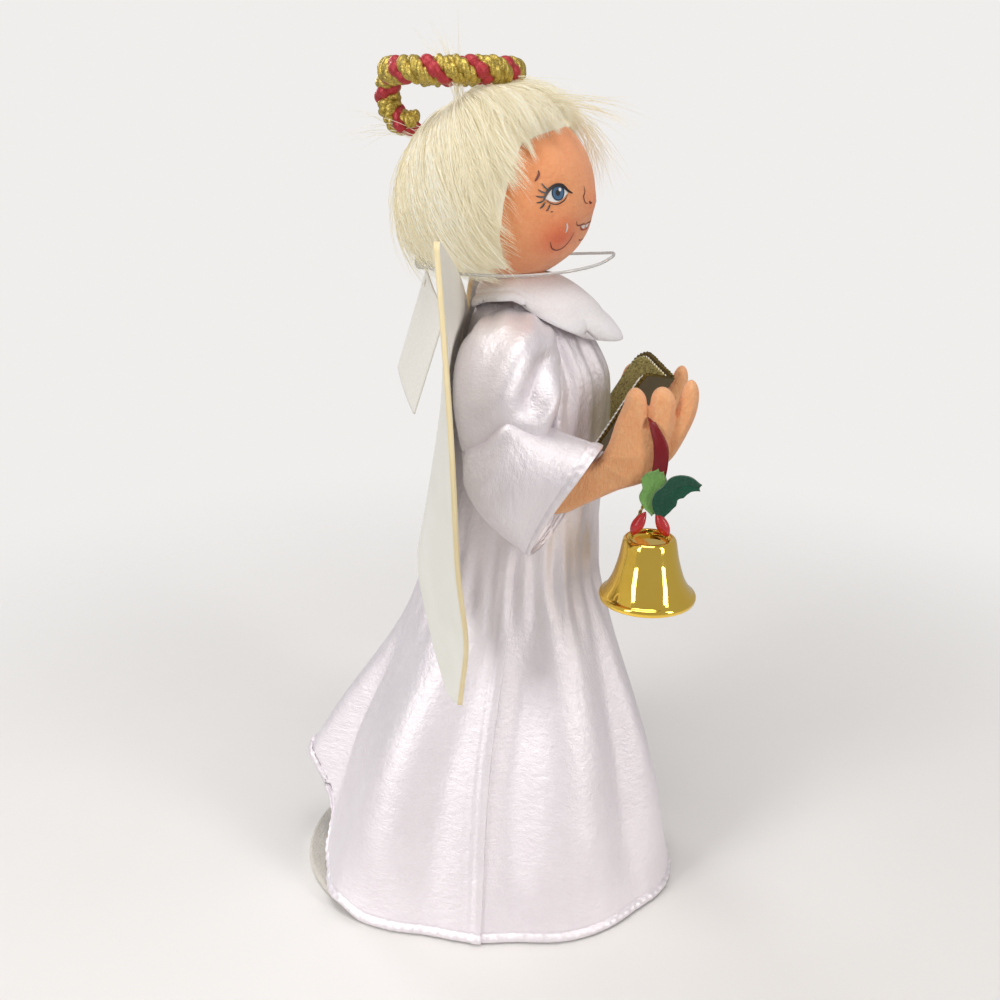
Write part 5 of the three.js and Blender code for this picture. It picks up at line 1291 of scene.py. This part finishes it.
def leaf_board(outline, near, far, bow):
    """A board with a given outline between two depths, bowed along its width. Rings run in from the outline to
    its middle on both faces."""
    middle = outline.mean(0)
    flat = middle + (outline - middle)[None] * LEAF_SHARES[:, None, None]
    curve = bow * np.sin(np.pi * flat[..., 0] / BOOK_WIDTH)
    faces = [np.stack([flat[..., 0] + BOOK_GAP, curve + depth, flat[..., 1]], -1) for depth in (near, far)]
    return capped(np.concatenate([faces[0][::-1], faces[1]]))


lame = Finish("gold_lame", Metallic=0.85)
lame_at = lame.place()
lame_glint, lame_weave = lame.cells(lame_at, 2400), lame.noise(lame_at, 1800, stretch=(1, 1, 0.4))
lame.tint(lame_glint * 0.55 + lame_weave * 0.45, (74, 58, 18), (222, 208, 128))
lame.set(Roughness=lame_glint * 0.3 + 0.22)
lame.bump(lame_weave * 0.6 + lame_glint * 0.5, 0.00025, 0.9)
# the gold cloth of the covers, darkened to olive and bronze: painted shade for the outsides that face away from the
# light
dark_lame = Finish("dark_lame", Metallic=0.8)
shaded_lame_weave = dark_lame.noise(dark_lame.place(), 1500, stretch=(1, 1, 0.4))
dark_lame.tint(shaded_lame_weave, (44, 34, 10), (120, 98, 34))
dark_lame.set(Roughness=shaded_lame_weave * 0.3 + 0.3)
dark_lame.bump(shaded_lame_weave, 0.0002, 0.8)
card_white = Finish("white_card", Roughness=0.7)
card_fibre = card_white.noise(card_white.place(), 1200, 4)
card_white.tint(card_fibre, (226, 222, 212), (246, 244, 238))
card_white.bump(card_fibre, 0.00004)
for name, side, near, far, corner in [
    ("right", -1, SPINE_PLAY, BOOK_COVER, 2.5),
    ("left", 1, -BOOK_COVER, -SPINE_PLAY, 6),
]:
    points, faces = leaf_board(book_outline(0, corner, COVER_TOOTH), near, far, 0)
    shape = (on_book(points, side), faces)
    add_piece(f"cloth_cover_{name}", shape, [dark_lame], "arm_left", "gold_cloth", f"book_cover_{name}")
    outline, near = book_outline(PAGE_MARGIN, corner, PAGE_TOOTH), side * PAGE_AT
    points, faces = leaf_board(outline, near, near + side * CARD, side * PAGE_BOW)
    shape = (on_book(points, side), faces)
    # the cut edge of the card, between the outer rings of both faces, is bare
    bare = np.arange(sum(len(array) for array in faces)) // len(outline) == len(LEAF_SHARES) - 1
    finishes, stands_for = [lame, card_white], f"book_page_{name}"
    add_piece(f"lined_page_{name}", shape, finishes, "arm_left", "white_card", stands_for, finish_of=bare)

# Ribbon. A narrow dark red satin ribbon, looped through the gap between two fingers of the right hand and
# knotted under the palm, where the bell hangs.
RIBBON_WIDTH, RIBBON_THICKNESS, RIBBON_SAMPLES, RIBBON_BOW = 3.8, 0.35, 70, 0.3
RIBBON_ROUTE = [
    (-20.6, -44, 151.6), (-23, -44.2, 153.2), (-25.4, -44.9, 151.8), (-26.6, -47, 146.6), (-26.3, -47, 140.4),
    (-25.6, -45.6, 135), (-24.2, -45.2, 132.9), (-22.2, -45.2, 133.1),
]
# share of the length and share of the width there: the start is drawn in between the fingers
RIBBON_TAPER = [(0, 0.3), (0.2, 0.5), (0.42, 1)]
RIBBON_CLOTH = (0.006, 0.03)
ribbon_satin = Finish("red_satin", Roughness=0.36, Specular_IOR_Level=0.45)
rib = ribbon_satin.noise(ribbon_satin.cloth_place(), 700, stretch=(8, 1, 1))
ribbon_satin.tint(rib, (92, 4, 12), (138, 10, 22))
ribbon_satin.bump(rib, 0.00012, 0.7)


def strap(path, width, thickness, across):
    """A flat strap along a path: five points over its width on each face, with the width lying along a given
    direction, less its part along the path."""
    along, across = unit(np.gradient(path, axis=0)), np.asarray(across, float)
    wide = unit(across - along * (along @ across)[:, None])
    thin = np.cross(along, wide)
    place = np.array([-1, -0.6, 0, 0.6, 1, 1, 0.6, 0, -0.6, -1])
    layer = np.array([0.5, 1, 1, 1, 0.5, -0.5, -1, -1, -1, -0.5])
    sideways = wide[:, None] * (width[:, None] * place / 2)[..., None]
    return path[:, None] + sideways + thin[:, None] * (layer * thickness / 2 + RIBBON_BOW * (1 - place**2))[:, None]


ribbon_wide = RIBBON_WIDTH * radius_along(RIBBON_TAPER, RIBBON_SAMPLES)
ribbon_rings = strap(smooth_path(RIBBON_ROUTE, RIBBON_SAMPLES), ribbon_wide, RIBBON_THICKNESS, (0, 1, 0.25))
ribbon_across = np.linspace(0, 1, ribbon_rings.shape[1])[None] * RIBBON_CLOTH[0]
ribbon_along = np.linspace(0, RIBBON_CLOTH[1], RIBBON_SAMPLES)[:, None]
ribbon_cloth = np.stack(np.broadcast_arrays(ribbon_across, ribbon_along), -1).reshape(-1, 2)
ribbon_cloth = np.concatenate([ribbon_cloth, [[0, 0], [0, 0]]])
add_piece(
    "ribbon_loop", capped(ribbon_rings), [ribbon_satin], "arm_right", "red_ribbon", "ribbon", cloth=ribbon_cloth
)

# Holly. Two leaves cut from felt, one light and one dark green. Both are tied in with the ribbon's knot
# under the right hand, and the dark one points forward.
LEAF_THICKNESS, LEAF_ROWS, LEAF_COLUMNS = 0.9, 60, 31
# midrib in the doll's side view, half width along it, how far out it lies, and light and dark tone
LEAVES = {
    "light": (
        [(-47.2, 140), (-46, 136.9), (-45.6, 133.2), (-46.2, 128.8)],
        [(0, 0.4), (0.1, 2.1), (0.28, 3.5), (0.45, 2.7), (0.62, 3.4), (0.85, 2.2), (1, 0.3)],
        -26.2,
        [(142, 190, 108), (94, 146, 70)],
    ),
    "dark": (
        [(-47.7, 128.6), (-48.6, 132.6), (-51, 135.9), (-54, 137.3), (-57.2, 136.8)],
        [(0, 0.8), (0.1, 2.1), (0.3, 3.1), (0.45, 2.5), (0.62, 3), (0.82, 2), (1, 0.3)],
        -27.6,
        [(22, 92, 66), (6, 52, 38)],
    ),
}


def holly_leaf(midrib, half_widths, lift):
    """A leaf along a midrib of places in the doll's side view: its half width is read along it, its midrib is
    pressed in, and its edges and tip stand a lift further out."""
    line = smooth_path(midrib, LEAF_ROWS)
    along = unit(np.gradient(line, axis=0))
    across = np.stack([-along[:, 1], along[:, 0]], -1)
    half, share = np.linspace(-1, 1, LEAF_COLUMNS)[None], np.linspace(0, 1, LEAF_ROWS)
    wide = at_level(np.array(half_widths), share, 1)[:, None]
    flat = line[:, None] + across[:, None] * (half * wide)[..., None]
    x = lift - 0.5 * np.abs(half) ** 0.8 - 0.8 * share[:, None] ** 2
    return sheet_of(np.stack([x, flat[..., 0], flat[..., 1]], -1), np.full(x.shape, LEAF_THICKNESS))


for name, (midrib, half_widths, lift, tones) in LEAVES.items():
    leaf_felt = felt(f"leaf_felt_{name}", *tones)
    leaf_shape = holly_leaf(midrib, half_widths, lift)
    add_piece(f"cut_leaf_{name}", leaf_shape, [leaf_felt], "arm_right", f"{name}_green", f"holly_leaf_{name}")

# Bell. A thin brass bell, polished and gold lacquered, with a flared lip and a dished crown, hung on a thread
# of gold cord with two red buds tied in above it. A ball on a rod is its clapper.
BELL_X, BELL_Y, BELL_LIP_Z, BELL_HEIGHT = -22.5, -45.5, 103, 17.6
BELL_LIP, BELL_CROWN, BELL_WALL, BELL_DISH, BELL_ROWS, BELL_SIDES = 12.9, 6.9, 0.8, 1.4, 70, 120
# share of the way out from the crown's radius to the lip's, and share of the height
BELL_SHAPE = [
    (0.99, 0), (1.02, 0.03), (1.02, 0.07), (0.96, 0.1), (0.84, 0.13), (0.5, 0.32), (0.22, 0.62), (0.05, 0.92),
    (-0.02, 0.98), (-0.1, 1),
]
bell_gold = Finish("lacquered_brass", Metallic=1.0, Coat_Weight=0.3, Coat_Roughness=0.03)
bell_at = bell_gold.place()
bell_haze = bell_gold.noise(bell_at, 90, 4)
bell_gold.tint(bell_haze, (252, 204, 70), (255, 222, 104))
bell_gold.set(Roughness=bell_haze * 0.05 + 0.03)
bell_gold.bump(bell_gold.noise(bell_at, 160, 2), 0.00012, 0.25)
overhang = BELL_LIP - BELL_CROWN
bell_line = [(BELL_CROWN + share * overhang, height * BELL_HEIGHT) for share, height in BELL_SHAPE]
outside = smooth_path(bell_line, BELL_ROWS)
dish_z = BELL_HEIGHT - BELL_DISH
under_dish = dish_z - BELL_WALL
inside = np.c_[outside[:, 0] - BELL_WALL, np.minimum(outside[:, 1], under_dish)]
dish_edge = outside[-1, 0] - BELL_WALL
dish = [(0.4, dish_z), (dish_edge * 0.6, dish_z), (dish_edge - 0.5, dish_z), (dish_edge, dish_z + 0.4)]
dish.append((dish_edge + 0.1, BELL_HEIGHT - 0.1))
ceiling = [(dish_edge * 0.6, under_dish), (0.4, under_dish)]
bell_profile = np.concatenate([dish, outside[::-1], [(BELL_LIP - 0.4, -0.15)], inside, ceiling])
bell_shape = capped(lathe(bell_profile, BELL_SIDES, (BELL_X, BELL_Y, BELL_LIP_Z)))
add_piece("bell_shell", bell_shape, [bell_gold], "bell", "bell_gold", "bell")

# from the bell's axis, out, to one side and the level
THREAD_LINE = [(0, 0.3, 132.6), (0.9, 2.3, 128.4), (2.2, 3.8, 123.6), (1, 4.6, BELL_LIP_Z + dish_z + 0.3)]
THREAD_SAMPLES, THREAD_TWIST, STRAND_OUT, STRAND_RADIUS, STRAND_SIDES = 60, 24, 0.22, 0.25, 8
strand_shapes = []
for side in (-1, 1):
    thread = smooth_path([(BELL_X + x, BELL_Y + side * y, z) for x, y, z in THREAD_LINE], THREAD_SAMPLES)
    beside_line, over_line = carried_frames(thread)
    for start in (0, math.pi):
        wind = np.linspace(0, THREAD_TWIST, THREAD_SAMPLES)[:, None] + start
        strand = thread + STRAND_OUT * (beside_line * np.cos(wind) + over_line * np.sin(wind))
        strand_shapes.append(capped(hose(strand, np.full(THREAD_SAMPLES, STRAND_RADIUS), STRAND_SIDES)))
add_piece("bell_thread", joined(*strand_shapes), [gold_yarn], "bell", "gold_cord", "bell_hanger")

BUD_RADIUS, BUD_LENGTH, BUD_LEAN, BUD_MIDDLE = 1.7, 7.4, math.radians(27), (3.06, 124.3)
BUD_SAMPLES, BUD_SIDES = 26, 28
lacquer = Finish("red_lacquer", Roughness=0.28, Coat_Weight=0.4)
lacquer_tone = lacquer.noise(lacquer.place(), 500)
lacquer.tint(lacquer_tone, (176, 26, 34), (224, 58, 60))
lacquer.bump(lacquer_tone, 0.00012, 0.5)
bud_share = np.linspace(0, 1, BUD_SAMPLES)
bud_size = BUD_RADIUS * np.sin(np.pi * np.clip(bud_share * 0.97 + 0.02, 0, 1)) ** 0.7 * (1.2 - 0.35 * bud_share)
bud_crease = 1 - 0.1 * np.abs(np.cos(1.5 * full_turn(BUD_SIDES)))[None]
from_middle = (bud_share - 0.5) * BUD_LENGTH
bud_z = BUD_MIDDLE[1] + from_middle * math.cos(BUD_LEAN)
for name, side in [("front", -1), ("back", 1)]:
    bud_y = BELL_Y + side * (BUD_MIDDLE[0] - from_middle * math.sin(BUD_LEAN))
    bud_path = np.stack([np.full(BUD_SAMPLES, BELL_X), bud_y, bud_z], -1)
    bud_shape = capped(hose(bud_path, bud_size[:, None] * bud_crease, BUD_SIDES))
    add_piece(f"red_bud_{name}", bud_shape, [lacquer], "bell", "red_lacquer", f"berry_{name}")

CLAPPER_LENGTH, CLAPPER_RADIUS, CLAPPER_ROWS, CLAPPER_SIDES = 11, 2.2, 16, 28
ROD_RADIUS, ROD_SAMPLES, ROD_SIDES = 0.5, 20, 14
clapper_top = BELL_LIP_Z + under_dish - 0.3
rod_z = np.linspace(clapper_top - CLAPPER_LENGTH, clapper_top, ROD_SAMPLES)
rod = np.stack([np.full(ROD_SAMPLES, BELL_X), np.full(ROD_SAMPLES, BELL_Y), rod_z], -1)
ball = np.linspace(-np.pi / 2 + 0.1, np.pi / 2 - 0.1, CLAPPER_ROWS)
ball_profile = np.c_[CLAPPER_RADIUS * np.cos(ball), rod_z[0] + CLAPPER_RADIUS * np.sin(ball)]
ball_shape = capped(lathe(ball_profile, CLAPPER_SIDES, (BELL_X, BELL_Y, 0)))
clapper_shape = joined(capped(hose(rod, np.full(ROD_SAMPLES, ROD_RADIUS), ROD_SIDES)), ball_shape)
add_piece("bell_clapper", clapper_shape, [bell_gold], "clapper", "bell_gold", "clapper")

# Tag. A bare white card with a punched hole, hung behind the neck. The ends of the nylon line are held
# there in a small block of clear nylon that is moulded round them.
TAG_WIDTH, TAG_LENGTH, TAG_THICKNESS, TAG_BOW, TAG_ROWS, TAG_COLUMNS = 23, 32, 0.45, 0.5, 63, 45
TAG_HANG, TAG_BESIDE, TAG_ABOVE = (0, CLASP_Y, 184.2), 3, 1
HOLE_BELOW, HOLE_RADIUS = 1.6, 1.1
TAG_TILT, TAG_LEAN, TAG_FACE = math.radians(-22), math.radians(11), math.radians(27)
CLASP_HALF, CLASP_ROWS, CLASP_SIDES = (2.5, 3.5, 1.8), 30, 40


def on_tag(points):
    """Points of the card, given as across, through and up from its hole, tilted in its own plane, leant out at
    the foot and turned about the upright."""
    x, y, z = np.moveaxis(np.asarray(points, float), -1, 0)
    z, x = turned(z, x, TAG_TILT)
    y, z = turned(y, z, TAG_LEAN)
    x, y = turned(x, y, TAG_FACE)
    return np.stack([x, y, z], -1) + TAG_HANG


share_x, share_z = np.meshgrid(np.linspace(0, 1, TAG_COLUMNS), np.linspace(0, 1, TAG_ROWS))
card_x, card_z = TAG_BESIDE - TAG_WIDTH + share_x * TAG_WIDTH, TAG_ABOVE - TAG_LENGTH + share_z * TAG_LENGTH
card_grid = np.stack([card_x, TAG_BOW * np.sin(np.pi * share_x) - TAG_BOW / 2, card_z], -1)
card_middle = (card_grid[1:, 1:] + card_grid[:-1, :-1]) / 2
punched = card_middle[..., 0] ** 2 + (card_middle[..., 2] + HOLE_BELOW) ** 2 < HOLE_RADIUS**2
((card_points, card_faces),) = used_only(*sheet_of(card_grid, np.full(card_x.shape, TAG_THICKNESS), ~punched))
add_piece("tag_card", (on_tag(card_points), card_faces), [card_white], "tag", "white_card", "hang_tag")

clasp_share = np.linspace(0, 1, CLASP_ROWS) * 2 - 1
clasp_size = np.sqrt(np.clip(1 - np.abs(clasp_share) ** 5, 0.02, 1))
around = full_turn(CLASP_SIDES)
square = 1 / (np.abs(np.cos(around)) ** 4 + np.abs(np.sin(around)) ** 4) ** 0.25
clasp_x, clasp_z = np.outer(clasp_size, square * np.cos(around)), np.outer(clasp_size, square * np.sin(around))
clasp_form = np.stack([clasp_x, np.outer(clasp_share, np.ones(CLASP_SIDES)), clasp_z], -1)
clasp_shape = capped(clasp_form * CLASP_HALF + (0, CLASP_Y, CLASP_Z))
add_piece("moulded_clasp", clasp_shape, [nylon], "body", "clear_nylon", "tag_clasp")
